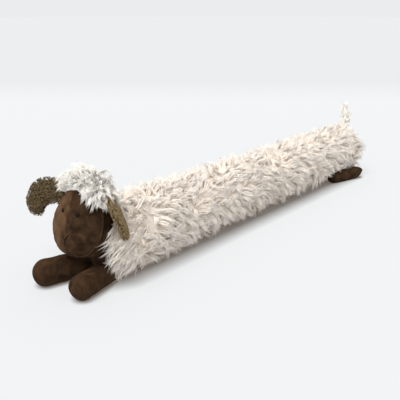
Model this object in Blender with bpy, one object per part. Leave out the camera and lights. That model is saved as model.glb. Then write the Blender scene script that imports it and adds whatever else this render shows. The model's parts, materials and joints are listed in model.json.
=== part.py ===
"""A sheep-shaped draught excluder: a long stuffed tube of shaggy fleece with a suede head, legs and chest.

The tube lies along X with the head at its -X end, and everything rests on the plane z = 0.
Pieces are placed from near the tube's middle, and the empty that holds them all then puts the
middle of the whole footprint at the origin. Sizes are in metres and angles in degrees.
"""

import math

import bmesh
import bpy
import numpy as np
from mathutils import Vector, noise

CLEARANCE = 0.0003  # what stands between two pieces that touch

# The fleece tube, measured to the roots of its pile's clumps.
TUBE_LENGTH = 0.752
TUBE_WIDTH = 0.113
TUBE_HEIGHT = 0.119
TUBE_FRONT = -0.385
TUBE_BACK = TUBE_FRONT + TUBE_LENGTH
TUBE_END_ROUND = 0.024
TUBE_SIDES = 36
TUBE_STEPS = 60
TUBE_EDGE_STEPS = 3
TUBE_END_RING = 0.42  # share of the width where a ring divides the flat end
CHEST_SHIFT = -0.011  # the chest end lies this far towards -Y
CHEST_REACH = 0.30  # over this length it comes back to the middle
CHEST_SWELL = 0.07  # the chest end is this share fuller
UNDERSIDE_PRESS = 0.007  # the tube sinks this far under its own weight and lies flat

# The pile's clumps, raised in the skin, and its free locks along the rims.
BODY_CLUMP = 0.022
BODY_CLUMP_STRETCH = (1.5, 1.0, 1.0)
BODY_CLUMP_HEIGHT = 0.0085
CLUMP_FADE = 0.014  # clumps rise to full height over this height above the floor
CLUMP_CREASE = 0.5  # a clump is at full height when this far from the line between it and the next
CLUMP_CROWN = 0.3  # share of a clump's height by which it falls away from its middle
TOPKNOT_CLUMP = 0.017
TOPKNOT_CLUMP_HEIGHT = 0.0065
SKIRT_LOCKS = 19  # along each lower side
SKIRT_SIDES = ((-1, 204.0), (1, -24.0))  # side, angle round the tube
SKIRT_START = -0.30
SKIRT_LENGTH = 0.50
SKIRT_SWAY = 6.0  # how far a lock's root strays round the tube
SKIRT_SWAY_STEP = 2.4
SKIRT_DRIFT = (-0.5, 0.4, 1.7)  # mean lean towards the chest, its change, and the change's step
SKIRT_SPREAD = 0.9
LOCK_DROOP = -0.35
LOCK_LENGTH = 0.012
LOCK_LENGTH_CHANGE = 0.002
SKIRT_LENGTH_STEP = 3.1
BACK_LOCKS = 13
BACK_ANGLES = (-20.0, 220.0)  # first angle, and how far round the last one lies from it
BACK_LENGTH_STEP = 2.1
BACK_INSET = 0.010
BACK_REACH = 0.86
RIM_LOCK_LEAN = 0.35
LEAST_SPREAD = 0.6  # locks of the back rim that point further up than this are left out
FRONT_LOCK_ANGLES = (-20.0, 6.0, 174.0, 200.0)
FRONT_INSET = 0.020
FRONT_REACH = 0.97
FRONT_LOCK_LENGTH = 0.014
LOCK_STATIONS = (
    # share of the lock's length, width against the one before
    (0.35, 0.95),
    (0.72, 0.62),
)

# The head is an egg of level sections. Heights run up from the chin.
HEAD_SECTIONS = (
    # height, half width, front reach, back reach
    (0.000, 0.003, 0.003, 0.003),
    (0.004, 0.0225, 0.021, 0.021),
    (0.014, 0.0380, 0.034, 0.033),
    (0.028, 0.0455, 0.038, 0.041),
    (0.046, 0.0482, 0.039, 0.045),
    (0.064, 0.045, 0.036, 0.046),
    (0.080, 0.038, 0.032, 0.043),
    (0.095, 0.028, 0.027, 0.036),
    (0.106, 0.018, 0.019, 0.024),
    (0.111, 0.003, 0.004, 0.004),
)
HEAD_TALL = HEAD_SECTIONS[-1][0]
HEAD_STEPS = 18
HEAD_HALF_ANGLES = (0.0, 4.5, 11.0, *(21.0 + 11.0 * k for k in range(14)), 172.0, 180.0)
HEAD_RAY_LIMIT = 0.09  # farther than any of the head's skin from its origin
HEAD_RAY_STEPS = 26
HEAD_MIDDLE = 0.060  # the head's own origin is this far above its chin
HEAD_AT = (-0.4105, -0.008, 0.1065)
HEAD_ROLL = 5.0  # the -Y cheek hangs lower
HEAD_LEAN = 3.0  # the crown leans back
HEAD_TURN = 17.0  # the face turns towards -Y
HEAD_SEAT_GROWTH = 0.015  # a seat for the head is cut this share larger
FACE_SEAM_X = -0.010  # the face is sewn to the back of the head in a plane through here
FACE_SEAM_LEAN = 18.0  # and the plane leans, so that it comes forward under the chin
CUT_TOLERANCE = 1e-6
PROBE_ANGLE = 1.0  # between the points that give the skin's direction
PROBE_HEIGHT = 0.001
SEAM_SHOULDER = 0.0035
SEAM_DIP = 0.0018
CENTRE_SEAM_DIP = 0.0009

# The bead eyes, measured from the face's centre seam and from the chin.
EYE_SPREAD = 0.0132
EYE_HEIGHT = 0.0785
EYE_RADIUS = 0.0035
EYE_DEPTH = 0.0026
EYE_PROUD = 0.25  # share of its depth by which an eye's middle stands out of the skin
EYE_ROWS = 7
EYE_COLUMNS = 12

# The topknot is a cap round an axis that leans back from the crown.
TOPKNOT_LEAN = 20.0
TOPKNOT_THICKNESS = 0.025
TOPKNOT_RIM = 0.005
TOPKNOT_STEPS = 9
TOPKNOT_SIDES = 28
TOPKNOT_LINING_GAP = 0.0011
TOPKNOT_LOCK_TURNS = (12.0, 38.0, 322.0, 348.0)
TOPKNOT_LOCK_LENGTH = 0.015
TOPKNOT_LOCK_ROOT = 0.88  # share of the way down the cap
TOPKNOT_LOCK_DROP = 22.0
TOPKNOT_LOCK_LEVEL = 0.5  # share of the cap's thickness
TOPKNOT_RIM_RELIEF = 0.7  # share of the clumps' height that is gone at the rim
TOPKNOT_REACHES = (
    # turn round the axis from the face, how far down the cap comes
    (0.0, 38.0),
    (50.0, 52.0),
    (90.0, 62.0),
    (135.0, 46.0),
    (180.0, 38.0),
)

EARS = (
    # name, the way its flat faces at the head and beyond, and its route from the head to its tip
    ("ear_far", ((-0.98, -0.18, 0.05), (-0.98, -0.18, 0.05)),
     ((-0.4105, 0.016, 0.1345), (-0.4165, 0.050, 0.1360), (-0.4225, 0.082, 0.1275),
      (-0.4265, 0.104, 0.108), (-0.4285, 0.112, 0.084))),
    ("ear_near", ((-0.10, 0.17, 0.98), (0.71, -0.61, 0.34)),
     ((-0.4040, -0.035, 0.1420), (-0.3960, -0.050, 0.1440), (-0.3915, -0.060, 0.1290),
      (-0.3855, -0.067, 0.1060), (-0.3805, -0.070, 0.0850))),
)
EAR_WIDTHS = (0.028, 0.036, 0.038, 0.037, 0.033)
EAR_THICKNESS = 0.0105
STRIP_BLUNT = 0.013  # a strip's ends are rounded over this length
STRIP_TWIST = (0.08, 0.42)  # share of the route over which a strip turns to its second facing
STRIP_PROBE = 0.01  # share of the route between points that give its heading
STRIP_END_PROBE = 0.03
TAIL_ROUTE = ((0.3625, -0.003, 0.092), (0.3690, -0.001, 0.112), (0.3735, 0.003, 0.136), (0.3750, 0.008, 0.160))
TAIL_FACING = ((1.0, 0.10, -0.15), (1.0, 0.10, -0.15))
TAIL_WIDTHS = (0.020, 0.021, 0.020, 0.013)
TAIL_THICKNESS = 0.0065
TAIL_STEPS = 12
TAIL_SIDES = 12

LEGS = (
    # name, root x, root y, heading, length, root radius, tip radius, height share
    ("leg_front_near", -0.357, -0.0290, 190.4, 0.1100, 0.0160, 0.0205, 1.02),
    ("leg_front_far", -0.361, 0.0010, 165.1, 0.1260, 0.0195, 0.0205, 1.06),
    ("leg_back_near", 0.242, -0.0425, -15.5, 0.1040, 0.0165, 0.0155, 0.94),
    ("leg_back_far", 0.242, 0.0425, 15.5, 0.1040, 0.0165, 0.0155, 0.94),
)
LEG_PRESS = 0.0018  # a leg's underside is pressed flat by this much
LEG_SEAM_DIP = 0.0008
LEG_SIDES = 20
LEG_STEPS = 12

CHEST_RADIUS = 0.046
CHEST_BULGE = 0.020
CHEST_COLUMNS = 28
CHEST_ROWS = 5
CHEST_FULLNESS = 0.6  # the lower, the blunter its front

FLEECE_COLOUR = (0.78, 0.71, 0.63)
TOPKNOT_COLOUR = (0.80, 0.76, 0.70)
SUEDE_COLOUR = (0.075, 0.042, 0.026)
CURL_COLOUR = (0.165, 0.110, 0.058)
BEAD_COLOUR = (0.012, 0.010, 0.010)


def clear_scene():
    for thing in list(bpy.data.objects):
        bpy.data.objects.remove(thing)


def finish_of(name, colour, roughness):
    material = bpy.data.materials.new(name)
    material.use_nodes = True
    shader = material.node_tree.nodes["Principled BSDF"]
    shader.inputs["Base Color"].default_value = (*colour, 1.0)
    shader.inputs["Roughness"].default_value = roughness
    shader.inputs["Metallic"].default_value = 0.0
    return material


def holder(name, at, parent=None, angles=(0.0, 0.0, 0.0)):
    """An empty that places the pieces below it."""
    empty = bpy.data.objects.new(name, None)
    bpy.context.scene.collection.objects.link(empty)
    empty.location = at
    empty.rotation_euler = [math.radians(angle) for angle in angles]
    empty.parent = parent
    return empty


def mesh_object(name, mesh, material, parent):
    """Turns a bmesh into a smooth shaded object of triangles."""
    bmesh.ops.triangulate(mesh, faces=[face for face in mesh.faces if len(face.verts) > 3])
    data = bpy.data.meshes.new(name)
    mesh.to_mesh(data)
    mesh.free()
    if material is not None:
        data.materials.append(material)
    data.shade_smooth()
    thing = bpy.data.objects.new(name, data)
    bpy.context.scene.collection.objects.link(thing)
    thing.parent = parent
    return thing


def cut_seat(thing, tool):
    """Leaves room in one piece for another."""
    tool.hide_render = True
    tool.display_type = "WIRE"
    modifier = thing.modifiers.new("seat", "BOOLEAN")
    modifier.operation = "DIFFERENCE"
    modifier.object = tool
    modifier.solver = "EXACT"


def skin_rings(start, rings, end):
    """A closed bmesh through rings of equal count, drawn together at one point at each end."""
    mesh = bmesh.new()
    first = mesh.verts.new(start)
    loops = [[mesh.verts.new(point) for point in ring] for ring in rings]
    last = mesh.verts.new(end)
    count = len(loops[0])
    for k in range(count):
        following = (k + 1) % count
        mesh.faces.new((first, loops[0][following], loops[0][k]))
        mesh.faces.new((last, loops[-1][k], loops[-1][following]))
        for near, far in zip(loops[:-1], loops[1:]):
            mesh.faces.new((near[k], near[following], far[following], far[k]))
    bmesh.ops.recalc_face_normals(mesh, faces=mesh.faces)
    return mesh


def smooth_step(low, high, value):
    share = min(1.0, max(0.0, (value - low) / (high - low)))
    return share * share * (3 - 2 * share)


def read_table(table, at):
    """A table's row at a place between its rows, read from a smooth curve through them."""
    rows = np.array(table, dtype=float)
    places = rows[:, 0]
    row = int(np.clip(np.searchsorted(places, at) - 1, 0, len(rows) - 2))
    span = places[row + 1] - places[row]
    share = (at - places[row]) / span

    def slope(k):
        low, high = max(k - 1, 0), min(k + 1, len(rows) - 1)
        return (rows[high] - rows[low]) / (places[high] - places[low])

    start = rows[row] * (1 - share) ** 2 * (1 + 2 * share) + rows[row + 1] * share**2 * (3 - 2 * share)
    bend = slope(row) * share * (1 - share) ** 2 - slope(row + 1) * share**2 * (1 - share)
    return (start + bend * span)[1:]


def read_route(points, share):
    """A point on a smooth curve through a route's points."""
    table = [(k, *point) for k, point in enumerate(points)]
    return Vector(read_table(table, share * (len(points) - 1)))


def clump_relief(point, size, stretch, height):
    """How far the pile stands out at a point: rounded clumps parted by creases."""
    scaled = Vector(c / (size * s) for c, s in zip(point, stretch))
    distances, _ = noise.voronoi(scaled)
    rise = smooth_step(0.0, CLUMP_CREASE, distances[1] - distances[0])
    return height * (rise - CLUMP_CROWN * distances[0])


def grow_lock(mesh, face, along, length):
    """Draws one face of the skin out into a pointed lock that bends towards along."""
    outward = face.normal.copy()
    reached = 0.0
    for share, narrowing in LOCK_STATIONS:
        face = bmesh.ops.extrude_discrete_faces(mesh, faces=[face])["faces"][0]
        centre = face.calc_center_median()
        step = outward.lerp(along, share).normalized() * length * (share - reached)
        for vertex in face.verts:
            vertex.co = centre + (vertex.co - centre) * narrowing + step
        reached = share
    centre = face.calc_center_median()
    tip = bmesh.ops.poke(mesh, faces=[face])["verts"][0]
    tip.co = centre + along.normalized() * length * (1 - reached)


def tube_section(x):
    """Where the tube's middle lies across, and how full it is, at a place along it."""
    chest = 1 - smooth_step(TUBE_FRONT, TUBE_FRONT + CHEST_REACH, x)
    return CHEST_SHIFT * chest, 1 + CHEST_SWELL * chest


def tube_point(x, angle, share=1.0):
    """A point of the smooth skin: share falls from 1 on the side to 0 at the middle of an end."""
    across, fullness = tube_section(x)
    half_height = TUBE_HEIGHT / 2 * fullness
    turn = math.radians(angle)
    y = across + TUBE_WIDTH / 2 * fullness * share * math.cos(turn)
    z = half_height - UNDERSIDE_PRESS + half_height * share * math.sin(turn)
    return Vector((x, y, max(z, 0.0)))


def tube_stations():
    """Places along the tube with the share of its width there: a flat end, a round edge, the length, and back."""
    radius = TUBE_HEIGHT / 2
    front = [(TUBE_FRONT, 0.0), (TUBE_FRONT, TUBE_END_RING)]
    for k in range(TUBE_EDGE_STEPS):
        turn = math.pi / 2 * k / TUBE_EDGE_STEPS
        inset = TUBE_END_ROUND * (1 - math.cos(turn))
        front.append((TUBE_FRONT + inset, 1 - TUBE_END_ROUND / radius * (1 - math.sin(turn))))
    straight = TUBE_LENGTH - 2 * TUBE_END_ROUND
    sides = [(TUBE_FRONT + TUBE_END_ROUND + straight * k / TUBE_STEPS, 1.0) for k in range(TUBE_STEPS + 1)]
    return front + sides + [(-x, share) for x, share in reversed(front)]


def make_fleece_tube(parent, material):
    """The stuffed tube, with clumps in its skin and locks at its rims and along its lower sides."""
    stations = tube_stations()
    turns = [360.0 * (k + 0.5) / TUBE_SIDES for k in range(TUBE_SIDES)]
    rings = [[tube_point(x, turn, share) for turn in turns] for x, share in stations[1:-1]]
    mesh = skin_rings(tube_point(TUBE_FRONT, 0, 0), rings, tube_point(TUBE_BACK, 0, 0))
    mesh.normal_update()
    for vertex in list(mesh.verts):
        relief = clump_relief(vertex.co, BODY_CLUMP, BODY_CLUMP_STRETCH, BODY_CLUMP_HEIGHT)
        vertex.co += vertex.normal * relief * smooth_step(0.0, CLUMP_FADE, vertex.co.z)
        vertex.co.x = max(vertex.co.x, TUBE_FRONT)
        vertex.co.z = max(vertex.co.z, 0.0)
    mesh.normal_update()
    for face, along, length in pick_tube_locks(mesh):
        grow_lock(mesh, face, along, length)
    return mesh_object("fleece_tube", mesh, material, parent)


def nearest_face(mesh, place, taken):
    """The four-sided face nearest a place that touches no face taken before it."""
    best = None
    for face in mesh.faces:
        if len(face.verts) != 4 or any(vertex in taken for vertex in face.verts):
            continue
        distance = (face.calc_center_median() - place).length
        if best is None or distance < best[0]:
            best = (distance, face)
    return best[1]


def pick_tube_locks(mesh):
    """Faces for the locks round both rims and along both lower sides, each with its direction and length."""
    places = []
    lean, lean_change, lean_step = SKIRT_DRIFT
    for side, angle in SKIRT_SIDES:
        for k in range(SKIRT_LOCKS):
            x = SKIRT_START + SKIRT_LENGTH * k / (SKIRT_LOCKS - 1)
            sway = SKIRT_SWAY * math.sin(SKIRT_SWAY_STEP * k + side)
            drift = Vector((lean + lean_change * math.sin(lean_step * k), SKIRT_SPREAD * side, LOCK_DROOP))
            length = LOCK_LENGTH + LOCK_LENGTH_CHANGE * math.sin(SKIRT_LENGTH_STEP * k)
            places.append((tube_point(x, angle + sway), drift, length))
    first_angle, turn_round = BACK_ANGLES
    for k in range(BACK_LOCKS):
        angle = first_angle + turn_round * k / (BACK_LOCKS - 1)
        spread = Vector((0, math.cos(math.radians(angle)), math.sin(math.radians(angle))))
        if abs(spread.y) < LEAST_SPREAD:
            continue
        root = tube_point(TUBE_BACK - BACK_INSET, angle, BACK_REACH)
        length = LOCK_LENGTH + LOCK_LENGTH_CHANGE * math.sin(BACK_LENGTH_STEP * k)
        places.append((root, spread + Vector((RIM_LOCK_LEAN, 0, LOCK_DROOP)), length))
    for angle in FRONT_LOCK_ANGLES:
        spread = Vector((0, math.cos(math.radians(angle)), math.sin(math.radians(angle))))
        root = tube_point(TUBE_FRONT + FRONT_INSET, angle, FRONT_REACH)
        places.append((root, spread + Vector((-RIM_LOCK_LEAN, 0, LOCK_DROOP)), FRONT_LOCK_LENGTH))
    taken = set()
    picks = []
    for place, along, length in places:
        face = nearest_face(mesh, place, taken)
        taken.update(face.verts)
        picks.append((face, along.normalized(), length))
    return picks


def head_point(angle, height):
    """A point on the egg: angle 0 is the middle of the face and 90 is the -Y cheek."""
    half_width, front, back = read_table(HEAD_SECTIONS, height)
    turn = math.radians(angle)
    reach = front if math.cos(turn) > 0 else back
    return Vector((-reach * math.cos(turn), -half_width * math.sin(turn), height - HEAD_MIDDLE))


def head_ray(direction):
    """How far the head's skin lies from its origin in one direction."""
    near, far = 0.0, HEAD_RAY_LIMIT
    for _ in range(HEAD_RAY_STEPS):
        reach = (near + far) / 2
        point = direction * reach
        height = point.z + HEAD_MIDDLE
        inside = 0.0 < height < HEAD_TALL
        if inside:
            half_width, front, back = read_table(HEAD_SECTIONS, height)
            deep = front if point.x < 0 else back
            inside = (point.x / deep) ** 2 + (point.y / half_width) ** 2 < 1.0
        near, far = (reach, far) if inside else (near, reach)
    return near


def egg_mesh():
    """The whole head as one closed form, with its centre seam drawn in down the face."""
    half = list(HEAD_HALF_ANGLES)
    angles = half + [360.0 - angle for angle in reversed(half[1:-1])]
    heights = [HEAD_TALL * (1 - math.cos(math.pi * k / HEAD_STEPS)) / 2 for k in range(1, HEAD_STEPS)]
    rings = [[head_point(angle, height) for angle in angles] for height in heights]
    for ring in rings:
        ring[0].x += CENTRE_SEAM_DIP
    return skin_rings((0, 0, -HEAD_MIDDLE), rings, (0, 0, HEAD_TALL - HEAD_MIDDLE))


def cut_plane(mesh, offset, keep=0):
    """Cuts the mesh in a plane beside the seam's. With keep -1 or 1 only that side stays."""
    lean = math.radians(FACE_SEAM_LEAN)
    across = Vector((math.cos(lean), 0, -math.sin(lean)))
    bmesh.ops.bisect_plane(
        mesh, geom=list(mesh.verts) + list(mesh.edges) + list(mesh.faces), dist=CUT_TOLERANCE,
        plane_co=Vector((FACE_SEAM_X, 0, 0)) + across * offset, plane_no=across,
        clear_outer=keep < 0, clear_inner=keep > 0,
    )
    return across


def make_head_half(name, side, parent, material):
    """The egg up to the seam plane, drawn in at the seam and closed there with a flat face."""
    mesh = egg_mesh()
    cut_plane(mesh, side * (CLEARANCE / 2 + SEAM_SHOULDER))
    across = cut_plane(mesh, side * CLEARANCE / 2, keep=side)
    rim = [edge for edge in mesh.edges if edge.is_boundary]
    for vertex in {vertex for edge in rim for vertex in edge.verts}:
        outward = vertex.co - across * vertex.co.dot(across)
        vertex.co -= outward.normalized() * SEAM_DIP
    bmesh.ops.contextual_create(mesh, geom=rim)
    bmesh.ops.recalc_face_normals(mesh, faces=mesh.faces)
    return mesh_object(name, mesh, material, parent)


def face_direction(angle, height):
    """The way out of the head's skin, from three points close together."""
    here = head_point(angle, height)
    beside = head_point(angle + PROBE_ANGLE, height)
    above = head_point(angle, height + PROBE_HEIGHT)
    return (above - here).cross(beside - here).normalized()


def bead_mesh(radius, depth, grow=0.0):
    """A round bead, flattened along its own Z."""
    turns = [2 * math.pi * k / EYE_COLUMNS for k in range(EYE_COLUMNS)]
    rings = []
    for j in range(1, EYE_ROWS):
        polar = math.pi * j / EYE_ROWS
        girth = (radius + grow) * math.sin(polar)
        z = -(depth + grow) * math.cos(polar)
        rings.append([Vector((girth * math.cos(turn), girth * math.sin(turn), z)) for turn in turns])
    return skin_rings((0, 0, -depth - grow), rings, (0, 0, depth + grow))


def make_eyes(face, parent, material):
    """Two bead eyes, each sunk to its middle in a seat in the face."""
    half_width, _, _ = read_table(HEAD_SECTIONS, EYE_HEIGHT)
    for name, side in (("eye_near", 1), ("eye_far", -1)):
        angle = side * math.degrees(math.asin(EYE_SPREAD / half_width))
        outward = face_direction(angle, EYE_HEIGHT)
        eye = mesh_object(name, bead_mesh(EYE_RADIUS, EYE_DEPTH), material, parent)
        seat = mesh_object(name + "_seat", bead_mesh(EYE_RADIUS, EYE_DEPTH, 2 * CLEARANCE), None, parent)
        for thing in (eye, seat):
            thing.location = head_point(angle, EYE_HEIGHT) + outward * EYE_DEPTH * EYE_PROUD
            thing.rotation_euler = outward.to_track_quat("Z", "Y").to_euler()
        cut_seat(face, seat)


def topknot_direction(turn, down):
    """A direction from the head's origin: down is the angle from the cap's axis."""
    axis = Vector((math.sin(math.radians(TOPKNOT_LEAN)), 0, math.cos(math.radians(TOPKNOT_LEAN))))
    forward = Vector((-axis.z, 0, axis.x))
    sideways = Vector((0, -1, 0))
    level = forward * math.cos(math.radians(turn)) + sideways * math.sin(math.radians(turn))
    return axis * math.cos(math.radians(down)) + level * math.sin(math.radians(down))


def make_topknot(parent, material):
    """The cap of longer fleece, hollow where it sits on the head, with locks at its rim."""
    turns = [360.0 * k / TOPKNOT_SIDES for k in range(TOPKNOT_SIDES)]
    outer, inner = [], []
    for k in range(1, TOPKNOT_STEPS + 1):
        share = k / TOPKNOT_STEPS
        outer_ring, inner_ring = [], []
        for turn in turns:
            around = turn if turn <= 180.0 else 360.0 - turn
            down = read_table(TOPKNOT_REACHES, around)[0] * share
            direction = topknot_direction(turn, down)
            skin = direction * (head_ray(direction) + TOPKNOT_LINING_GAP)
            swell = math.sqrt(1 - share**4) * (TOPKNOT_THICKNESS - TOPKNOT_RIM) + TOPKNOT_RIM
            relief = clump_relief(skin, TOPKNOT_CLUMP, (1, 1, 1), TOPKNOT_CLUMP_HEIGHT)
            outer_ring.append(skin + direction * (swell + relief * (1 - TOPKNOT_RIM_RELIEF * share**4)))
            inner_ring.append(skin)
        outer.append(outer_ring)
        inner.append(inner_ring)
    axis = topknot_direction(0, 0)
    pole = axis * (head_ray(axis) + TOPKNOT_LINING_GAP)
    rings = outer + list(reversed(inner))
    mesh = skin_rings(pole + axis * TOPKNOT_THICKNESS, rings, pole)
    mesh.normal_update()
    taken = set()
    for turn in TOPKNOT_LOCK_TURNS:
        around = turn if turn <= 180.0 else 360.0 - turn
        down = read_table(TOPKNOT_REACHES, around)[0]
        root = topknot_direction(turn, down * TOPKNOT_LOCK_ROOT)
        place = root * (head_ray(root) + TOPKNOT_LOCK_LEVEL * TOPKNOT_THICKNESS)
        face = nearest_face(mesh, place, taken)
        taken.update(face.verts)
        along = topknot_direction(turn, down + TOPKNOT_LOCK_DROP)
        grow_lock(mesh, face, along, TOPKNOT_LOCK_LENGTH)
    return mesh_object("topknot", mesh, material, parent)


def strip_mesh(route, facings, widths, thickness, grow=0.0, steps=14, sides=16):
    """A flat padded strip along a route. Its flat side turns from one facing to the other near its root."""
    first_facing, facing = (Vector(way).normalized() for way in facings)
    table = [(k / (len(widths) - 1), width) for k, width in enumerate(widths)]
    length = sum((Vector(b) - Vector(a)).length for a, b in zip(route[:-1], route[1:]))
    rings = []
    for k in range(1, steps):
        share = (1 - math.cos(math.pi * k / steps)) / 2
        reach = min(share, 1 - share) * length
        cap = math.sqrt(1 - (1 - min(1.0, reach / STRIP_BLUNT)) ** 2)
        ahead = read_route(route, min(1.0, share + STRIP_PROBE))
        heading = (ahead - read_route(route, share - STRIP_PROBE)).normalized()
        flat = first_facing.lerp(facing, smooth_step(*STRIP_TWIST, share))
        across = heading.cross(flat).normalized()
        over = across.cross(heading)
        half_width = read_table(table, share)[0] / 2 * cap + grow
        half_thickness = thickness / 2 * cap**0.5 + grow
        middle = read_route(route, share)
        rings.append([
            middle + across * half_width * math.cos(turn) + over * half_thickness * math.sin(turn)
            for turn in (2 * math.pi * (j + 0.5) / sides for j in range(sides))
        ])
    start = Vector(route[0])
    end = Vector(route[-1])
    heading = (end - read_route(route, 1 - STRIP_END_PROBE)).normalized()
    back = (start - read_route(route, STRIP_END_PROBE)).normalized()
    return skin_rings(start + back * grow, rings, end + heading * grow)


def make_ears(neighbours, head_seat, parent, material):
    """Two padded ears. Each is cut to lie against the head, and the fleece gives way to it."""
    for name, facings, route in EARS:
        ear = mesh_object(name, strip_mesh(route, facings, EAR_WIDTHS, EAR_THICKNESS), material, parent)
        cut_seat(ear, head_seat)
        tool = strip_mesh(route, facings, EAR_WIDTHS, EAR_THICKNESS, grow=2 * CLEARANCE)
        seat = mesh_object(name + "_seat", tool, None, parent)
        for neighbour in neighbours:
            cut_seat(neighbour, seat)


def make_tail(tube, parent, material):
    """The upright strip at the tail end, set into the tube's upper rim."""
    mesh = strip_mesh(TAIL_ROUTE, TAIL_FACING, TAIL_WIDTHS, TAIL_THICKNESS, steps=TAIL_STEPS, sides=TAIL_SIDES)
    mesh_object("tail", mesh, material, parent)
    tool = strip_mesh(
        TAIL_ROUTE, TAIL_FACING, TAIL_WIDTHS, TAIL_THICKNESS, 2 * CLEARANCE, steps=TAIL_STEPS, sides=TAIL_SIDES,
    )
    cut_seat(tube, mesh_object("tail_seat", tool, None, parent))


def leg_mesh(length, root_radius, tip_radius, height_share, grow=0.0):
    """A stuffed stub along its own X, round at both ends, flat below, with a seam above and below."""
    middle = tip_radius * height_share - LEG_PRESS
    seams = (LEG_SIDES // 4, 3 * LEG_SIDES // 4)
    rings = []
    for k in range(1, LEG_STEPS):
        share = (1 - math.cos(math.pi * k / LEG_STEPS)) / 2
        radius = root_radius + (tip_radius - root_radius) * share
        cap = min(1.0, min(share, 1 - share) * length / radius)
        girth = radius * math.sqrt(1 - (1 - cap) ** 2)
        ring = []
        for j in range(LEG_SIDES):
            turn = 2 * math.pi * j / LEG_SIDES
            dip = LEG_SEAM_DIP if j in seams and grow == 0.0 else 0.0
            y = (girth + grow) * math.cos(turn)
            z = middle + (girth * height_share - dip + grow) * math.sin(turn)
            ring.append(Vector((share * length, y, z if grow else max(z, 0.0))))
        rings.append(ring)
    return skin_rings((-grow, 0, middle), rings, (length + grow, 0, middle))


def make_legs(carriers, parent, material):
    """Four stuffed legs, each in a seat of its own in the tube, and in the chest in front."""
    for name, x, y, heading, length, root_radius, tip_radius, height_share in LEGS:
        sizes = (length, root_radius, tip_radius, height_share)
        leg = mesh_object(name, leg_mesh(*sizes), material, parent)
        seat = mesh_object(name + "_seat", leg_mesh(*sizes, grow=2 * CLEARANCE), None, parent)
        for thing in (leg, seat):
            thing.location = (x, y, 0)
            thing.rotation_euler.z = math.radians(heading)
        for carrier in carriers:
            if x < 0 or carrier.name == "fleece_tube":
                cut_seat(carrier, seat)


def make_chest(head_seat, parent, material):
    """The suede disc that closes the front of the tube and swells a little under the chin."""
    across, fullness = tube_section(TUBE_FRONT)
    turns = [2 * math.pi * k / CHEST_COLUMNS for k in range(CHEST_COLUMNS)]
    rings = []
    for j in range(CHEST_ROWS):
        polar = math.pi / 2 * j / CHEST_ROWS
        girth = CHEST_RADIUS * math.cos(polar) ** CHEST_FULLNESS
        reach = -CHEST_BULGE * math.sin(polar)
        rings.append([Vector((reach, girth * math.cos(turn), girth * math.sin(turn))) for turn in turns])
    chest = mesh_object("chest_panel", skin_rings((0, 0, 0), rings, (-CHEST_BULGE, 0, 0)), material, parent)
    chest.location = (TUBE_FRONT - CLEARANCE, across, TUBE_HEIGHT / 2 * fullness - UNDERSIDE_PRESS)
    cut_seat(chest, head_seat)
    return chest


def centre_on_footprint(toy):
    """Moves the whole toy so that the middle of its footprint is the origin."""
    bpy.context.view_layer.update()
    points = []
    reader = bpy.context.evaluated_depsgraph_get()
    for thing in bpy.data.objects:
        if thing.type != "MESH" or thing.hide_render:
            continue
        shape = thing.evaluated_get(reader)
        points += [shape.matrix_world @ vertex.co for vertex in shape.data.vertices]
    for axis in (0, 1):
        low = min(point[axis] for point in points)
        high = max(point[axis] for point in points)
        toy.location[axis] -= (low + high) / 2


def main():
    clear_scene()
    fleece = finish_of("cream_fleece", FLEECE_COLOUR, 0.95)
    white_fleece = finish_of("white_fleece", TOPKNOT_COLOUR, 0.95)
    suede = finish_of("brown_suede", SUEDE_COLOUR, 0.85)
    curls = finish_of("curly_cloth", CURL_COLOUR, 0.95)
    bead = finish_of("dark_bead", BEAD_COLOUR, 0.3)
    toy = holder("toy", (0, 0, 0))
    head = holder("head", HEAD_AT, toy, (HEAD_ROLL, HEAD_LEAN, HEAD_TURN))

    tube = make_fleece_tube(toy, fleece)
    head_seat = mesh_object("head_seat", egg_mesh(), None, head)
    head_seat.scale = (1 + HEAD_SEAT_GROWTH,) * 3
    chest = make_chest(head_seat, toy, suede)
    cut_seat(tube, head_seat)
    face = make_head_half("face", -1, head, suede)
    make_head_half("head_back", 1, head, suede)
    make_eyes(face, head, bead)
    topknot = make_topknot(head, white_fleece)
    make_ears((topknot, tube), head_seat, toy, curls)
    make_legs((tube, chest), toy, suede)
    make_tail(tube, toy, white_fleece)
    centre_on_footprint(toy)


main()
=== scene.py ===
"""A sheep-shaped draught excluder, dressed: shaggy fleece, suede head and legs, curly ears, on a pale floor."""

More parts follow.
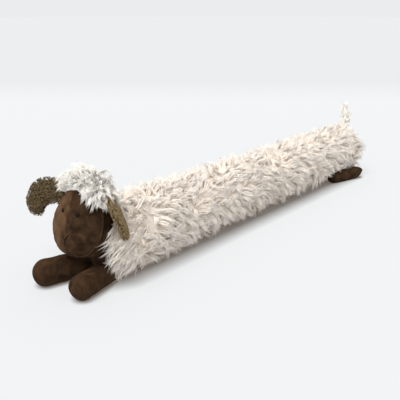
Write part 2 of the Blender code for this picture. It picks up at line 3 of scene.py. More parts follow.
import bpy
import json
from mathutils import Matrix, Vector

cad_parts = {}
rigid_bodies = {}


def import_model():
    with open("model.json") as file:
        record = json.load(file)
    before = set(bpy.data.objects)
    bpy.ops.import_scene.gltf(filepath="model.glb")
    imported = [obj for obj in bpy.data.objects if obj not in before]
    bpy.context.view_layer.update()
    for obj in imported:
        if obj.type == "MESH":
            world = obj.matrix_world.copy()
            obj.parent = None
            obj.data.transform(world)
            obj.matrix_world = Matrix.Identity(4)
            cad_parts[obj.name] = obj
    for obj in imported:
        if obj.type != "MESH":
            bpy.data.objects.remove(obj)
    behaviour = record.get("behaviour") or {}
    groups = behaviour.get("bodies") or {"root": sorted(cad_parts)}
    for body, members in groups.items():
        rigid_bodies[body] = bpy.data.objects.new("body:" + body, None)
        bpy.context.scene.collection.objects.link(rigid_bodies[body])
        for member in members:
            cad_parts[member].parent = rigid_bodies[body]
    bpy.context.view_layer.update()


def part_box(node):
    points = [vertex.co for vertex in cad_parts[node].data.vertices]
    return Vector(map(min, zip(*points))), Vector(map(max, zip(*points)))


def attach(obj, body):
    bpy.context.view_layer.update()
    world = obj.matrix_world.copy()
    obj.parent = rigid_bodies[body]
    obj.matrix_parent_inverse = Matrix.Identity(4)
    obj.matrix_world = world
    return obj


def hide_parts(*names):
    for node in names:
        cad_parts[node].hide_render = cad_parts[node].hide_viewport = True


bl_info = {
    "name": "Sheep draught excluder",
    "version": (1, 0, 0),
    "blender": (4, 5, 0),
    "location": "3D View > Sidebar > Draught excluder",
    "description": "Dresses the packed draught excluder in fleece, suede and curly cloth",
    "category": "Object",
}

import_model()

import json
import math

import bpy
import numpy as np
from bpy.props import FloatProperty, FloatVectorProperty, IntProperty, PointerProperty
from bpy.types import Operator, Panel, PropertyGroup
from mathutils import Euler, Matrix, Vector, noise

# Sizes in metres and degrees, from near the tube's middle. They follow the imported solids, and differ from them by
# a few millimetres where the hind feet end and at the near ear's root.
CHEST_BACK = -0.3853
TUBE_LENGTH = 0.752
TUBE_WIDTH = 0.113
TUBE_HEIGHT = 0.119
TUBE_FRONT = -0.385
TUBE_BACK = TUBE_FRONT + TUBE_LENGTH
TUBE_END_ROUND = 0.024
CHEST_SHIFT = -0.011
CHEST_REACH = 0.30
CHEST_SWELL = 0.07
UNDERSIDE_PRESS = 0.007

HEAD_SECTIONS = (
    # height, half width, front reach, back reach
    (0.000, 0.003, 0.003, 0.003),
    (0.004, 0.0225, 0.021, 0.021),
    (0.014, 0.0380, 0.034, 0.033),
    (0.028, 0.0455, 0.038, 0.041),
    (0.046, 0.0482, 0.039, 0.045),
    (0.064, 0.045, 0.036, 0.046),
    (0.080, 0.038, 0.032, 0.043),
    (0.095, 0.028, 0.027, 0.036),
    (0.106, 0.018, 0.019, 0.024),
    (0.111, 0.003, 0.004, 0.004),
)
HEAD_TALL = HEAD_SECTIONS[-1][0]
HEAD_MIDDLE = 0.060
HEAD_AT = (-0.4105, -0.008, 0.1065)
HEAD_ANGLES = (5.0, 3.0, 17.0)
FACE_SEAM_X = -0.010
FACE_SEAM_LEAN = 18.0

EYE_SPREAD = 0.0132
EYE_HEIGHT = 0.0785
EYE_RADIUS = 0.0035
EYE_DEPTH = 0.0026

# The stitched nose and mouth: half thickness, then angle from the face's middle and height above the chin.
MOUTH_THREADS = (
    ("nose_left", 0.0004, ((-9.0, 0.0425), (-6.0, 0.0395), (-3.0, 0.0362))),
    ("nose_right", 0.0008, ((6.0, 0.0480), (2.0, 0.0425), (-3.0, 0.0360))),
    ("mouth_line", 0.0007, ((-3.0, 0.0362), (-4.2, 0.0310), (-5.0, 0.0265))),
)

TOPKNOT_LEAN = 20.0
TOPKNOT_REACHES = (
    # turn round the axis from the face, how far down the cap comes
    (0.0, 38.0),
    (50.0, 52.0),
    (90.0, 62.0),
    (135.0, 46.0),
    (180.0, 38.0),
)

# A flat padded strip is its route from its root to its tip, the way it faces at its root and further on, its widths
# along the route and its thickness.
EAR_THICKNESS = 0.0105
EARS = (
    # name, share of it that the topknot hides, how light its curls are painted (painted shade on the far ear,
    # painted light on the near ear), its strip
    ("ear_far", 0.04, -0.50, (
        ((-0.4105, 0.016, 0.1345), (-0.4165, 0.050, 0.1360), (-0.4225, 0.082, 0.1275),
         (-0.4265, 0.104, 0.108), (-0.4285, 0.112, 0.084)),
        ((-0.98, -0.18, 0.05), (-0.98, -0.18, 0.05)), (0.028, 0.036, 0.038, 0.037, 0.033), EAR_THICKNESS)),
    ("ear_near", 0.29, 1.20, (
        ((-0.4030, -0.036, 0.1445), (-0.3945, -0.0505, 0.1475), (-0.3910, -0.060, 0.1300),
         (-0.3855, -0.067, 0.1060), (-0.3805, -0.070, 0.0850)),
        ((-0.10, 0.17, 0.98), (0.71, -0.61, 0.34)), (0.008, 0.024, 0.034, 0.036, 0.031), EAR_THICKNESS)),
)
TAIL_STRIP = (
    ((0.3625, -0.003, 0.092), (0.3690, -0.001, 0.112), (0.3735, 0.003, 0.136), (0.3750, 0.008, 0.160)),
    ((1.0, 0.10, -0.15), (1.0, 0.10, -0.15)), (0.020, 0.021, 0.020, 0.013), 0.0065)

LEGS = (
    # name, root x, root y, heading, length, root radius, tip radius, height share
    ("leg_front_near", -0.357, -0.0290, 190.4, 0.1100, 0.0160, 0.0205, 1.02),
    ("leg_front_far", -0.361, 0.0010, 165.1, 0.1260, 0.0195, 0.0205, 1.06),
    ("leg_back_near", 0.242, -0.0425, -15.5, 0.1080, 0.0165, 0.0155, 0.94),
    ("leg_back_far", 0.242, 0.0425, 15.5, 0.1080, 0.0165, 0.0155, 0.94),
)
LEG_PRESS = 0.0018
CHEST_RADIUS = 0.046
CHEST_BULGE = 0.020

# The toy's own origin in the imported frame: its chest panel and its back legs tell where it is.
TOY = Vector((
    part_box("chest_panel")[1].x - CHEST_BACK,
    (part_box("leg_back_near")[0].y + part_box("leg_back_far")[1].y) / 2,
    0.0,
))
TOY_AT = np.array(TOY)
HEAD_PLACE = (
    Matrix.Translation(TOY + Vector(HEAD_AT))
    @ Euler([math.radians(angle) for angle in HEAD_ANGLES]).to_matrix().to_4x4()
)
HEAD_TURN = np.array(HEAD_PLACE.to_3x3())
HEAD_ORIGIN = np.array(HEAD_PLACE.translation)

# Seeds of the noise and of each piece's random draws, so that each run makes the same toy.
NOISE_SEED = 3
PILE_SEED = 11
TOPKNOT_SEED = 23
TAIL_SEED = 31
EAR_SEED = 41

FLOOR_GAP = 0.0005  # fibres stop this far above the floor
RING_SIDES = 3  # a fibre's cross-section is a triangle
LONGEST_STEP = 0.78  # fibres that a push has drawn out further than this share of a lock are left out
SHARED_SHADING = 0.25  # how far a fibre is shaded as the surface that all of them make together
LAID_ON = 1.04  # fibres that touch a form are laid this far out, as a share of its own reach
DEEPEST_LAID = 0.3  # points deeper in a form than this share of its reach aren't laid all the way out
DEEP_IN_HEAD = 0.8  # fibres that reach deeper into the head than this share are left out
DEEP_IN_LEG = 0.7  # and so are those that reach deeper into a leg than this
ABOVE_EAR = 0.014  # fibres that rise further than this over an ear's middle are left out
BLUNT_END = 0.013  # length over which a strip's ends are rounded

# The body's pile: the way it lies, and the swirls in it by size, seed and strength.
PILE_FLOW = (0.65, 0.0, -0.45)
PILE_SWIRLS = ((0.035, 5.1, 1.9), (0.09, 2.2, 0.7), (0.016, 7.7, 1.7))
BODY_LUMP_SIZE = 0.03
BODY_LUMP_DEPTH = 0.0022

# Relief of the sewn and stuffed suede.
PUFF_WIDTH = 0.004  # the cloth stands up this widely beside the head's seams
PANEL_PUFF = 0.0006
MIDDLE_PUFF = 0.0004
PUCKER_DEPTH = 0.0006
HEAD_LUMP_DEPTH = 0.0007
SOCKET_RADIUS = 0.0046  # a low ring of cloth lies round each eye
SOCKET_WIDTH = 0.0011
SOCKET_RISE = 0.0007
LEG_LUMP_DEPTH = 0.0011
LEG_CREASE_DEPTH = 0.0011
LEG_SEAM_DEPTH = 0.0011
LEG_PUFF = 0.0004
HIND_TOE = 1.9  # how much longer the end of a hind foot is than a round one
HIND_TOE_RISE = 0.0035

CAP_GAP = 0.0011  # between the head and the topknot's backing
CAP_SWELL = 0.008
CAP_EDGE = 0.0015
TOPKNOT_LOCK_WIDTH = 0.0034
TOPKNOT_FIBRE_WIDTH = 0.00066
CURL_SINK = 0.0018  # how deep the curls' roots lie in the ear
CURL_GIRTH = 0.0013
THINNEST_CORE = 0.0004  # half thickness of the ear's padding where it ends
TAIL_CORE_SHARE = 0.62  # the tail's backing against its whole girth
TAIL_LOCKS = 150
TAIL_LOCK_LENGTH = 0.015
TAIL_LOCK_WIDTH = 0.003
TAIL_FIBRES = 10
TAIL_FIBRE_WIDTH = 0.0005


def length_setting(name, description, default, low=0.0, high=1.0):
    return FloatProperty(name=name, description=description, default=default, min=low, max=high,
                         subtype="DISTANCE", unit="LENGTH", precision=4)


def colour_setting(name, description, default):
    return FloatVectorProperty(name=name, description=description, default=default, size=3, min=0.0, max=1.0,
                               subtype="COLOR")


def count_setting(name, description, default, low, high):
    return IntProperty(name=name, description=description, default=default, min=low, max=high)


def number_setting(name, description, default, low=0.0, high=1.0):
    return FloatProperty(name=name, description=description, default=default, min=low, max=high)


class FleeceSettings(PropertyGroup):
    lock_length: length_setting("Lock length", "Length of the body's locks along their fibres", 0.0255)
    lock_spacing: length_setting("Lock spacing", "Distance between the roots of two locks", 0.0090)
    lock_width: length_setting("Lock width", "Half width of a lock at its widest", 0.0050)
    fibre_width: length_setting("Fibre width", "Half width of a bundle of fibres at its root", 0.00078)
    fibres: count_setting("Fibres in a lock", "Bundles of fibres in one lock", 11, 4, 40)
    fringe: count_setting("Fringe", "Locks that hang over the rim of the chest panel", 110, 0, 400)
    backing_depth: length_setting("Backing depth", "How far the backing lies below the clumps' roots", 0.008)
    tip_colour: colour_setting("Tip colour", "Colour of the fleece at the tips", (0.965, 0.895, 0.815))
    # The darker root colour is partly dirtier wool at the roots and partly painted shade deep in the pile.
    root_colour: colour_setting("Root colour", "Colour of the fleece at the backing", (0.90, 0.80, 0.69))


class TopknotSettings(PropertyGroup):
    depth: length_setting("Depth", "How far the locks stand off the crown", 0.031)
    rim_depth: length_setting("Rim depth", "How far the locks stand off the head at the rim", 0.009)
    locks: count_setting("Locks", "Number of locks on the crown", 480, 50, 900)
    fibres: count_setting("Fibres in a lock", "Bundles of fibres in one lock", 13, 4, 40)
    tip_colour: colour_setting("Tip colour", "Colour of the topknot at the tips", (1.0, 0.965, 0.905))
    # The slightly darker root colour is partly dirtier wool at the roots and partly painted shade deep in the
    # locks.
    root_colour: colour_setting("Root colour", "Colour of the topknot at the backing", (0.985, 0.94, 0.865))


class SuedeSettings(PropertyGroup):
    light_colour: colour_setting("Brushed colour", "Colour where the nap is brushed up", (0.067, 0.0375, 0.0200))
    dark_colour: colour_setting("Smoothed colour", "Colour where the nap lies flat", (0.0190, 0.0102, 0.0062))
    # Painted light: the face's far side is painted this much lighter. The same colour also marks brushed nap
    # patches.
    brushed_and_lit_share: number_setting("Brushed side", "How much lighter the face's far side is", 2.05, 1.0, 4.0)
    seam_depth: length_setting("Seam depth", "How far a seam pulls the suede in", 0.0017)
    seam_width: length_setting("Seam width", "Half width of the groove along a seam", 0.0016)
    thread_colour: colour_setting("Thread colour", "Colour of the stitched nose and mouth",
                                  (0.007, 0.0035, 0.002))


class EarSettings(PropertyGroup):
    curls: count_setting("Curls", "Number of curls on each ear", 2300, 100, 5000)
    curl_height: length_setting("Curl height", "How far a curl stands out", 0.0027)
    curl_width: length_setting("Curl width", "Half width of a curl's yarn", 0.00050)
    # Curls run from the gap colour at their roots to the curl colour at their tops. The near-black gaps are painted
    # shade between the curls.
    light_colour: colour_setting("Curl colour", "Colour at the top of a curl", (0.345, 0.250, 0.129))
    dark_colour: colour_setting("Gap colour", "Colour between the curls", (0.014, 0.009, 0.0045))


class StageSettings(PropertyGroup):
    floor_colour: colour_setting("Floor colour", "Colour of the floor", (0.179, 0.185, 0.191))
    floor_glow: number_setting("Floor glow", "Light that comes up through the floor", 0.619)
    sky: number_setting("Room light", "Strength of the even light", 0.85, high=5.0)
    lamp_power: number_setting("Lamp power", "Strength of the soft lamp high on the left", 2.42, high=50.0)
    lens: FloatProperty(name="Lens", description="Focal length of the camera", default=45.0, min=10.0,
                        unit="CAMERA")


SETTINGS = {
    "excluder_fleece": FleeceSettings,
    "excluder_topknot": TopknotSettings,
    "excluder_suede": SuedeSettings,
    "excluder_ears": EarSettings,
    "excluder_stage": StageSettings,
}


def turns_round(sides, shift=0.0):
    """Angles in radians of the places round a ring."""
    return 2 * np.pi * (np.arange(sides) + shift) / sides


def eased_shares(steps):
    """Shares between 0 and 1 that lie closer together near both ends."""
    return (1 - np.cos(np.pi * np.arange(1, steps) / steps)) / 2


def smooth_step(low, high, value):
    share = np.clip((value - low) / (high - low), 0.0, 1.0)
    return share * share * (3 - 2 * share)


def unit(vectors):
    return vectors / np.maximum(np.linalg.norm(vectors, axis=-1, keepdims=True), 1e-9)


def read_table(table, at):
    """A table's rows at places between its own, read from a smooth curve through them."""
    rows = np.asarray(table, dtype=float)
    places = rows[:, 0]
    at = np.asarray(at, dtype=float)
    row = np.clip(np.searchsorted(places, at) - 1, 0, len(rows) - 2)
    low = np.maximum(np.arange(len(rows)) - 1, 0)
    high = np.minimum(np.arange(len(rows)) + 1, len(rows) - 1)
    slopes = (rows[high] - rows[low]) / (places[high] - places[low])[:, None]
    span = (places[row + 1] - places[row])[..., None]
    share = (at - places[row])[..., None] / span
    start = rows[row] * (1 - share) ** 2 * (1 + 2 * share) + rows[row + 1] * share**2 * (3 - 2 * share)
    bend = slopes[row] * share * (1 - share) ** 2 - slopes[row + 1] * share**2 * (1 - share)
    return (start + bend * span)[..., 1:]


def read_route(points, share):
    table = [(k, *point) for k, point in enumerate(points)]
    return read_table(table, np.asarray(share, dtype=float) * (len(points) - 1))


def wander(points, size, seed=0.0):
    """A smooth random vector at each point, about as large as one, and the same in each run."""
    noise.seed_set(NOISE_SEED)
    return np.array([noise.noise_vector(Vector(p) / size + Vector((seed, 3.7 * seed, -seed))) for p in points])


def tube_section(x):
    """Where the tube's middle line lies sideways and in height at x, and how full the tube is there."""
    chest = 1 - smooth_step(TUBE_FRONT, TUBE_FRONT + CHEST_REACH, x)
    fullness = 1 + CHEST_SWELL * chest
    return CHEST_SHIFT * chest, TUBE_HEIGHT / 2 * fullness - UNDERSIDE_PRESS, fullness


def tube_surface(travel, turn, sink):
    """Points and outward directions on the tube. Travel runs from 0 at the front's middle along the skin to 1 at
    the back's middle, turn is in radians, and the surface lies sink inside the smooth skin."""
    radius = TUBE_HEIGHT / 2
    flat = radius - TUBE_END_ROUND
    arc = TUBE_END_ROUND * math.pi / 2
    straight = TUBE_LENGTH - 2 * TUBE_END_ROUND
    whole = 2 * flat + 2 * arc + straight
    run = np.minimum(travel, 1 - travel) * whole
    on_arc = np.clip((run - flat) / arc, 0.0, 1.0) * math.pi / 2
    inset = TUBE_END_ROUND * (1 - np.cos(on_arc)) + np.maximum(run - flat - arc, 0.0)
    reach = np.minimum(run, flat) + TUBE_END_ROUND * np.sin(on_arc)
    front = travel < 0.5
    x = np.where(front, TUBE_FRONT + inset, TUBE_BACK - inset)
    away = np.where(front, -np.cos(on_arc), np.cos(on_arc))
    level = np.sin(on_arc)
    across, middle, fullness = tube_section(x)
    half_width = TUBE_WIDTH / 2 * fullness
    half_height = TUBE_HEIGHT / 2 * fullness
    share = reach / radius
    outward = unit(np.stack([away, level * np.cos(turn), level * np.sin(turn)], axis=-1))
    skin = np.stack([
        x,
        across + half_width * share * np.cos(turn),
        middle + half_height * share * np.sin(turn),
    ], axis=-1)
    points = skin - outward * sink
    points[..., 2] = np.maximum(points[..., 2], FLOOR_GAP)
    return points, outward


def head_points(angle, height):
    """Points on the egg-shaped head in its own frame: angle 0 is the middle of the face and 90 the near cheek."""
    sizes = read_table(HEAD_SECTIONS, height)
    turn = np.radians(angle)
    reach = np.where(np.cos(turn) > 0, sizes[..., 1], sizes[..., 2])
    return np.stack([-reach * np.cos(turn), -sizes[..., 0] * np.sin(turn), height - HEAD_MIDDLE], axis=-1)


def head_outward(angle, height):
    here = head_points(angle, height)
    beside = head_points(angle + 1.0, height)
    above = head_points(angle, height + 0.001)
    return unit(np.cross(above - here, beside - here))


def inside_head(local):
    """How far out each point lies, as a share of the head's reach in that direction."""
    height = local[..., 2] + HEAD_MIDDLE
    sizes = read_table(HEAD_SECTIONS, np.clip(height, 0.0, HEAD_TALL))
    deep = np.where(local[..., 0] < 0, sizes[..., 1], sizes[..., 2])
    share = np.hypot(local[..., 0] / deep, local[..., 1] / sizes[..., 0])
    return np.where((height < 0) | (height > HEAD_TALL), 9.0, share)


def head_reach(directions):
    """How far the head's skin lies from its origin in each direction."""
    near = np.zeros(directions.shape[:-1])
    far = np.full(directions.shape[:-1], 0.09)
    for _ in range(24):
        reach = (near + far) / 2
        inside = inside_head(directions * reach[..., None]) < 1.0
        near, far = np.where(inside, reach, near), np.where(inside, far, reach)
    return near


def topknot_directions(turn, down):
    lean = math.radians(TOPKNOT_LEAN)
    axis = np.array((math.sin(lean), 0.0, math.cos(lean)))
    forward = np.array((-axis[2], 0.0, axis[0]))
    sideways = np.array((0.0, -1.0, 0.0))
    turn, down = np.radians(turn)[..., None], np.radians(down)[..., None]
    return axis * np.cos(down) + (forward * np.cos(turn) + sideways * np.sin(turn)) * np.sin(down)


def to_world(local):
    """Points of the head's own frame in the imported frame."""
    return local @ HEAD_TURN.T + HEAD_ORIGIN


def turn_to_world(directions):
    return directions @ HEAD_TURN.T


def to_head(points):
    return (points - HEAD_ORIGIN) @ HEAD_TURN


def finish_piece(data, material, replaced=()):
    """Puts a mesh in the scene as a piece of the toy."""
    piece = bpy.data.objects.new(data.name, data)
    bpy.context.scene.collection.objects.link(piece)
    data.materials.append(material_named(material))
    data.shade_smooth()
    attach(piece, "root")
    if replaced:
        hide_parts(*replaced)


def mesh_from_arrays(name, points, triangles, shade=None):
    data = bpy.data.meshes.new(name)
    data.vertices.add(len(points))
    data.vertices.foreach_set("co", np.ascontiguousarray(points, dtype=np.float32).ravel())
    data.loops.add(triangles.size)
    data.loops.foreach_set("vertex_index", np.ascontiguousarray(triangles, dtype=np.int32).ravel())
    data.polygons.add(len(triangles))
    data.polygons.foreach_set("loop_start", np.arange(0, triangles.size, 3, dtype=np.int32))
    data.update(calc_edges=True)
    if shade is not None:
        layer = data.color_attributes.new("shade", "FLOAT_COLOR", "POINT")
        layer.data.foreach_set("color", np.ascontiguousarray(shade, dtype=np.float32).ravel())
    return data


def loft(name, rings, start, end, shade=None):
    """A closed mesh through rings of points, drawn together at one point at each end."""
    count, sides, _ = rings.shape
    points = np.concatenate([rings.reshape(-1, 3), [start], [end]])
    first, last = count * sides, count * sides + 1
    k = np.arange(sides)
    following = (k + 1) % sides
    faces = [
        np.stack([np.full(sides, first), following, k], axis=-1),
        np.stack([np.full(sides, last), (count - 1) * sides + k, (count - 1) * sides + following], axis=-1),
    ]
    for row in range(count - 1):
        a, b = row * sides + k, row * sides + following
        c, d = b + sides, a + sides
        faces.append(np.stack([a, b, c], axis=-1))
        faces.append(np.stack([a, c, d], axis=-1))
    triangles = np.concatenate(faces)
    corners = points[triangles]
    volume = np.einsum("ij,ij->i", corners[:, 0], np.cross(corners[:, 1], corners[:, 2])).sum()
    if volume < 0:
        triangles = triangles[:, ::-1]
    return mesh_from_arrays(name, points, triangles, shade)


def fibre_mesh(name, centres, radii, sides, tones, outward, flatness=0.7):
    """Closed tapering fibres along rows of points. Tones holds two values for each fibre: its lock's and its own.
    The fibres are shaded partly as the surface that they cover together, which faces outward."""
    count, rows, _ = centres.shape
    tangents = unit(np.gradient(centres, axis=1))
    across = unit(sides[:, None, :] - tangents * np.sum(sides[:, None, :] * tangents, axis=-1, keepdims=True))
    over = np.cross(tangents, across)
    turns = turns_round(RING_SIDES)
    body = centres[:, :-1, None, :]
    ring = across[:, :-1, None, :] * np.cos(turns)[:, None]
    ring = ring + over[:, :-1, None, :] * np.sin(turns)[:, None] * flatness
    ring = ring * radii[:, :-1, None, None]
    block = RING_SIDES * (rows - 1) + 1
    points = np.concatenate([(body + ring).reshape(count, -1, 3), centres[:, -1:, :]], axis=1)
    points[..., 2] = np.maximum(points[..., 2], FLOOR_GAP)
    pattern = [(0, 2, 1)]
    for row in range(rows - 2):
        for k in range(RING_SIDES):
            a, b = RING_SIDES * row + k, RING_SIDES * row + (k + 1) % RING_SIDES
            pattern += [(a, b, b + RING_SIDES), (a, b + RING_SIDES, a + RING_SIDES)]
    tip, low = block - 1, RING_SIDES * (rows - 2)
    pattern += [(low + k, low + (k + 1) % RING_SIDES, tip) for k in range(RING_SIDES)]
    triangles = (np.array(pattern)[None] + (np.arange(count) * block)[:, None, None]).reshape(-1, 3)
    along = np.append(np.repeat(np.linspace(0, 1, rows)[:-1], RING_SIDES), 1.0)
    shade = np.ones((count, block, 4))
    shade[..., 0] = along
    shade[..., 1] = tones[:, :1]
    shade[..., 2] = tones[:, 1:]
    data = mesh_from_arrays(name, points.reshape(-1, 3), triangles, shade.reshape(-1, 4))
    within = np.concatenate([np.repeat(centres[:, :-1], RING_SIDES, axis=1), centres[:, -1:]], axis=1)
    own = unit(points - within)
    own[:, -1] = tangents[:, -1]
    mixed = unit(own * (1 - SHARED_SHADING) + outward[:, None, :] * SHARED_SHADING)
    data.normals_split_custom_set_from_vertices(mixed.reshape(-1, 3).tolist())
    return data


def points_on(paths, places):
    """Points on each path, at places that run from 0 to 1 along it."""
    last = paths.shape[1] - 1
    at = np.clip(places, 0, 1) * last
    low = np.minimum(at.astype(int), last - 1)
    part = (at - low)[..., None]
    which = np.arange(len(paths))[:, None, None]
    return paths[which, low] * (1 - part) + paths[which, low + 1] * part


def fill_locks(paths, outward, across, width, fibres, fibre_width, rng, rows=4, thin=0.45, close=0.16, fuzz=0.002,
               wave=0.33):
    """Fibres along each lock's path, spread at its middle and drawn together at its tip: thin is how thick a lock
    is for its width, close how far its tip stays open, fuzz how far its fibres stray and wave how far it swings.
    Returns the fibres' points, half widths, sides, tones and outward directions."""
    count = len(paths)
    share = np.linspace(0.0, 1.0, rows)[None, None, :]
    centres = points_on(paths, share * rng.uniform(0.76, 1.0, (count, fibres, 1)))
    spread_turn = rng.uniform(0, 2 * np.pi, (count, fibres, 1))
    spread = np.sqrt(rng.uniform(0.02, 1, (count, fibres, 1)))
    profile = np.interp(share, (0.0, 0.35, 0.7, 1.0), (0.80, 1.0, 0.5 + close, close)) * width[:, None, None]
    phase = rng.uniform(0, 2 * np.pi, (count, 1, 1))
    swing = np.sin(2.2 * np.pi * share * rng.uniform(0.7, 1.2, (count, 1, 1)) + phase) - np.sin(phase)
    aside = np.cos(spread_turn) * spread * profile + swing * share * width[:, None, None] * wave
    proud = np.sin(spread_turn) * spread * profile * thin
    stray = rng.normal(0, fuzz, (count, fibres, 1, 3)) * (share**2)[..., None]
    centres = centres + outward[:, None, None, :] * proud[..., None]
    centres = centres + across[:, None, None, :] * aside[..., None] + stray
    radii = np.interp(share, (0, 0.4, 0.75, 1), (1.0, 0.95, 0.62, 0.0)) * fibre_width \
        * rng.uniform(0.8, 1.25, (count, fibres, 1))
    tones = np.stack([
        np.broadcast_to(rng.uniform(0, 1, (count, 1)), (count, fibres)), rng.uniform(0, 1, (count, fibres)),
    ], axis=-1)
    many = count * fibres
    return [
        centres.reshape(many, rows, 3), radii.reshape(many, rows), np.repeat(across, fibres, axis=0),
        tones.reshape(many, 2), np.repeat(outward, fibres, axis=0),
    ]


def lock_paths(roots, outward, lay, length, lift, tip_curl, sag, stations=8):
    """Paths that rise from their roots and lean over along lay, with a tip that turns up a little or down."""
    share = np.linspace(0.0, 1.0, stations)
    rise = lift[:, None] * (1.7 * share - 0.7 * share**2) + tip_curl[:, None] * share**3
    lean = np.sqrt(1 - np.clip(lift, 0, 0.98) ** 2)[:, None] * share**1.25
    paths = roots[:, None, :] + length[:, None, None] * (
        outward[:, None, :] * rise[..., None] + lay[:, None, :] * lean[..., None])
    paths[..., 2] -= sag * length[:, None] * share**2
    return paths


def route_heading(route, share, step):
    """The way that a route runs at each share of it."""
    ahead, behind = np.minimum(1.0, share + step), np.maximum(0.0, share - step)
    return unit(read_route(route, ahead) - read_route(route, behind))


def route_length(route):
    return np.linalg.norm(np.diff(np.array(route), axis=0), axis=1).sum()


def strip_frames(route, facings, widths, thickness, share):
    """A flat padded strip at places along its route: middle, across, over, half width, half thickness."""
    first, later = (unit(np.array(way, dtype=float)) for way in facings)
    reach = np.minimum(share, 1 - share) * route_length(route)
    cap = np.sqrt(np.clip(1 - (1 - np.minimum(1.0, reach / BLUNT_END)) ** 2, 0, 1))
    heading = route_heading(route, share, 0.01)
    mix = smooth_step(0.08, 0.42, share)[:, None]
    across = unit(np.cross(heading, first * (1 - mix) + later * mix))
    table = [(k / (len(widths) - 1), width) for k, width in enumerate(widths)]
    half_width = read_table(table, share)[:, 0] / 2 * cap
    return read_route(route, share), across, np.cross(across, heading), half_width, thickness / 2 * np.sqrt(cap)


def strip_surface(strip, share, turn):
    """Points on a strip and the way out of it, at pairs of share and turn."""
    middle, across, over, half_width, half_thickness = strip_frames(*strip, share)
    cosine, sine = np.cos(turn)[:, None], np.sin(turn)[:, None]
    points = middle + across * half_width[:, None] * cosine + over * half_thickness[:, None] * sine
    aside = across * cosine / np.maximum(half_width, 1e-4)[:, None]
    above = over * sine / np.maximum(half_thickness, 1e-4)[:, None]
    return points, unit(aside + above)


def strip_rings(middle, across, over, half_width, half_thickness, sides):
    """Rings of points round a strip."""
    turns = turns_round(sides, 0.5)
    return middle[:, None, :] + (
        across[:, None, :] * (half_width[:, None] * np.cos(turns))[..., None]
        + over[:, None, :] * (half_thickness[:, None] * np.sin(turns))[..., None])


def feed(tree, socket, value):
    """Links a value to a socket, or sets it there where it is the same everywhere."""
    if isinstance(value, bpy.types.NodeSocket):
        tree.links.new(value, socket)
    else:
        socket.default_value = value


def add_node(tree, kind, inputs=None, **settings):
    made = tree.nodes.new(kind)
    for name, value in settings.items():
        setattr(made, name, value)
    for name, value in (inputs or {}).items():
        feed(tree, made.inputs[name], value)
    return made


def calculate(tree, operation, *values):
    return add_node(tree, "ShaderNodeMath", dict(enumerate(values)), operation=operation).outputs[0]


def calculate_vectors(tree, operation, first, second, output="Vector"):
    made = add_node(tree, "ShaderNodeVectorMath", {0: first, 1: second}, operation=operation)
    return made.outputs[output]


def place_between(tree, value, low, high, end=1.0):
    """A value's place between low and high, from 0 to end."""
    return add_node(tree, "ShaderNodeMapRange", {
        "Value": value, "From Min": low, "From Max": high, "To Max": end}).outputs["Result"]


def mix_colours(tree, factor, first, second, blend="MIX"):
    made = add_node(tree, "ShaderNodeMix", {"Factor": factor, 6: first, 7: second},
                    data_type="RGBA", blend_type=blend)
    return made.outputs[2]


def new_group(name, inputs, outputs):
    group = bpy.data.node_groups.new(name, "ShaderNodeTree")
    for label, kind, value in inputs:
        socket = group.interface.new_socket(label, in_out="INPUT", socket_type=kind)
        if value is not None:
            socket.default_value = value
    for label, kind in outputs:
        group.interface.new_socket(label, in_out="OUTPUT", socket_type=kind)
    return group, group.nodes.new("NodeGroupInput").outputs, group.nodes.new("NodeGroupOutput").inputs


def make_mottle_group():
    """Patches and grain: a colour between dark and light, and a height for a bump."""
    group, given, wanted = new_group(
        "mottled_nap",
        (("Coordinates", "NodeSocketVector", None), ("Dark", "NodeSocketColor", (0.1, 0.1, 0.1, 1)),
         ("Light", "NodeSocketColor", (0.5, 0.5, 0.5, 1)), ("Patch Scale", "NodeSocketFloat", 50.0),
         ("Grain Scale", "NodeSocketFloat", 900.0), ("Grain Share", "NodeSocketFloat", 0.35)),
        (("Color", "NodeSocketColor"), ("Height", "NodeSocketFloat")),
    )
    patch = add_node(group, "ShaderNodeTexNoise", {
        "Vector": given["Coordinates"], "Scale": given["Patch Scale"], "Detail": 4.0, "Roughness": 0.55,
        "Distortion": 0.6})
    grain = add_node(group, "ShaderNodeTexNoise", {
        "Vector": given["Coordinates"], "Scale": given["Grain Scale"], "Detail": 3.0, "Roughness": 0.6})
    wide = place_between(group, patch.outputs["Fac"], 0.32, 0.68)
    fine = place_between(group, grain.outputs["Fac"], 0.3, 0.7)
    share = add_node(group, "ShaderNodeMix", {"Factor": given["Grain Share"], "A": wide, "B": fine})
    feed(group, wanted["Color"], mix_colours(group, share.outputs["Result"], given["Dark"], given["Light"]))
    feed(group, wanted["Height"], fine)


def make_fibre_group():
    """A fibre's colour from root to tip, with each lock and each fibre a little lighter or darker. The darker root
    is partly painted shade, deep in the pile and between the ears' curls.
    """
    group, given, wanted = new_group(
        "fibre_tone",
        (("Shade", "NodeSocketColor", (0.5, 0.5, 0.5, 1)), ("Root", "NodeSocketColor", (0.5, 0.5, 0.5, 1)),
         ("Tip", "NodeSocketColor", (0.8, 0.8, 0.8, 1)), ("Variation", "NodeSocketFloat", 0.12)),
        (("Color", "NodeSocketColor"),),
    )
    parts = add_node(group, "ShaderNodeSeparateColor", {"Color": given["Shade"]}).outputs
    blend = mix_colours(group, place_between(group, parts["Red"], 0.0, 0.75), given["Root"], given["Tip"])
    sway = calculate(group, "SUBTRACT", calculate(group, "ADD", parts["Green"], parts["Blue"]), 1.0)
    level = calculate(group, "ADD", calculate(group, "MULTIPLY", sway, given["Variation"]), 1.0)
    tint = add_node(group, "ShaderNodeCombineColor", {"Red": level, "Green": level, "Blue": level})
    feed(group, wanted["Color"], mix_colours(group, 1.0, blend, tint.outputs[0], "MULTIPLY"))


def rgba(colour, share=1.0):
    return (*(value * share for value in colour), 1.0)


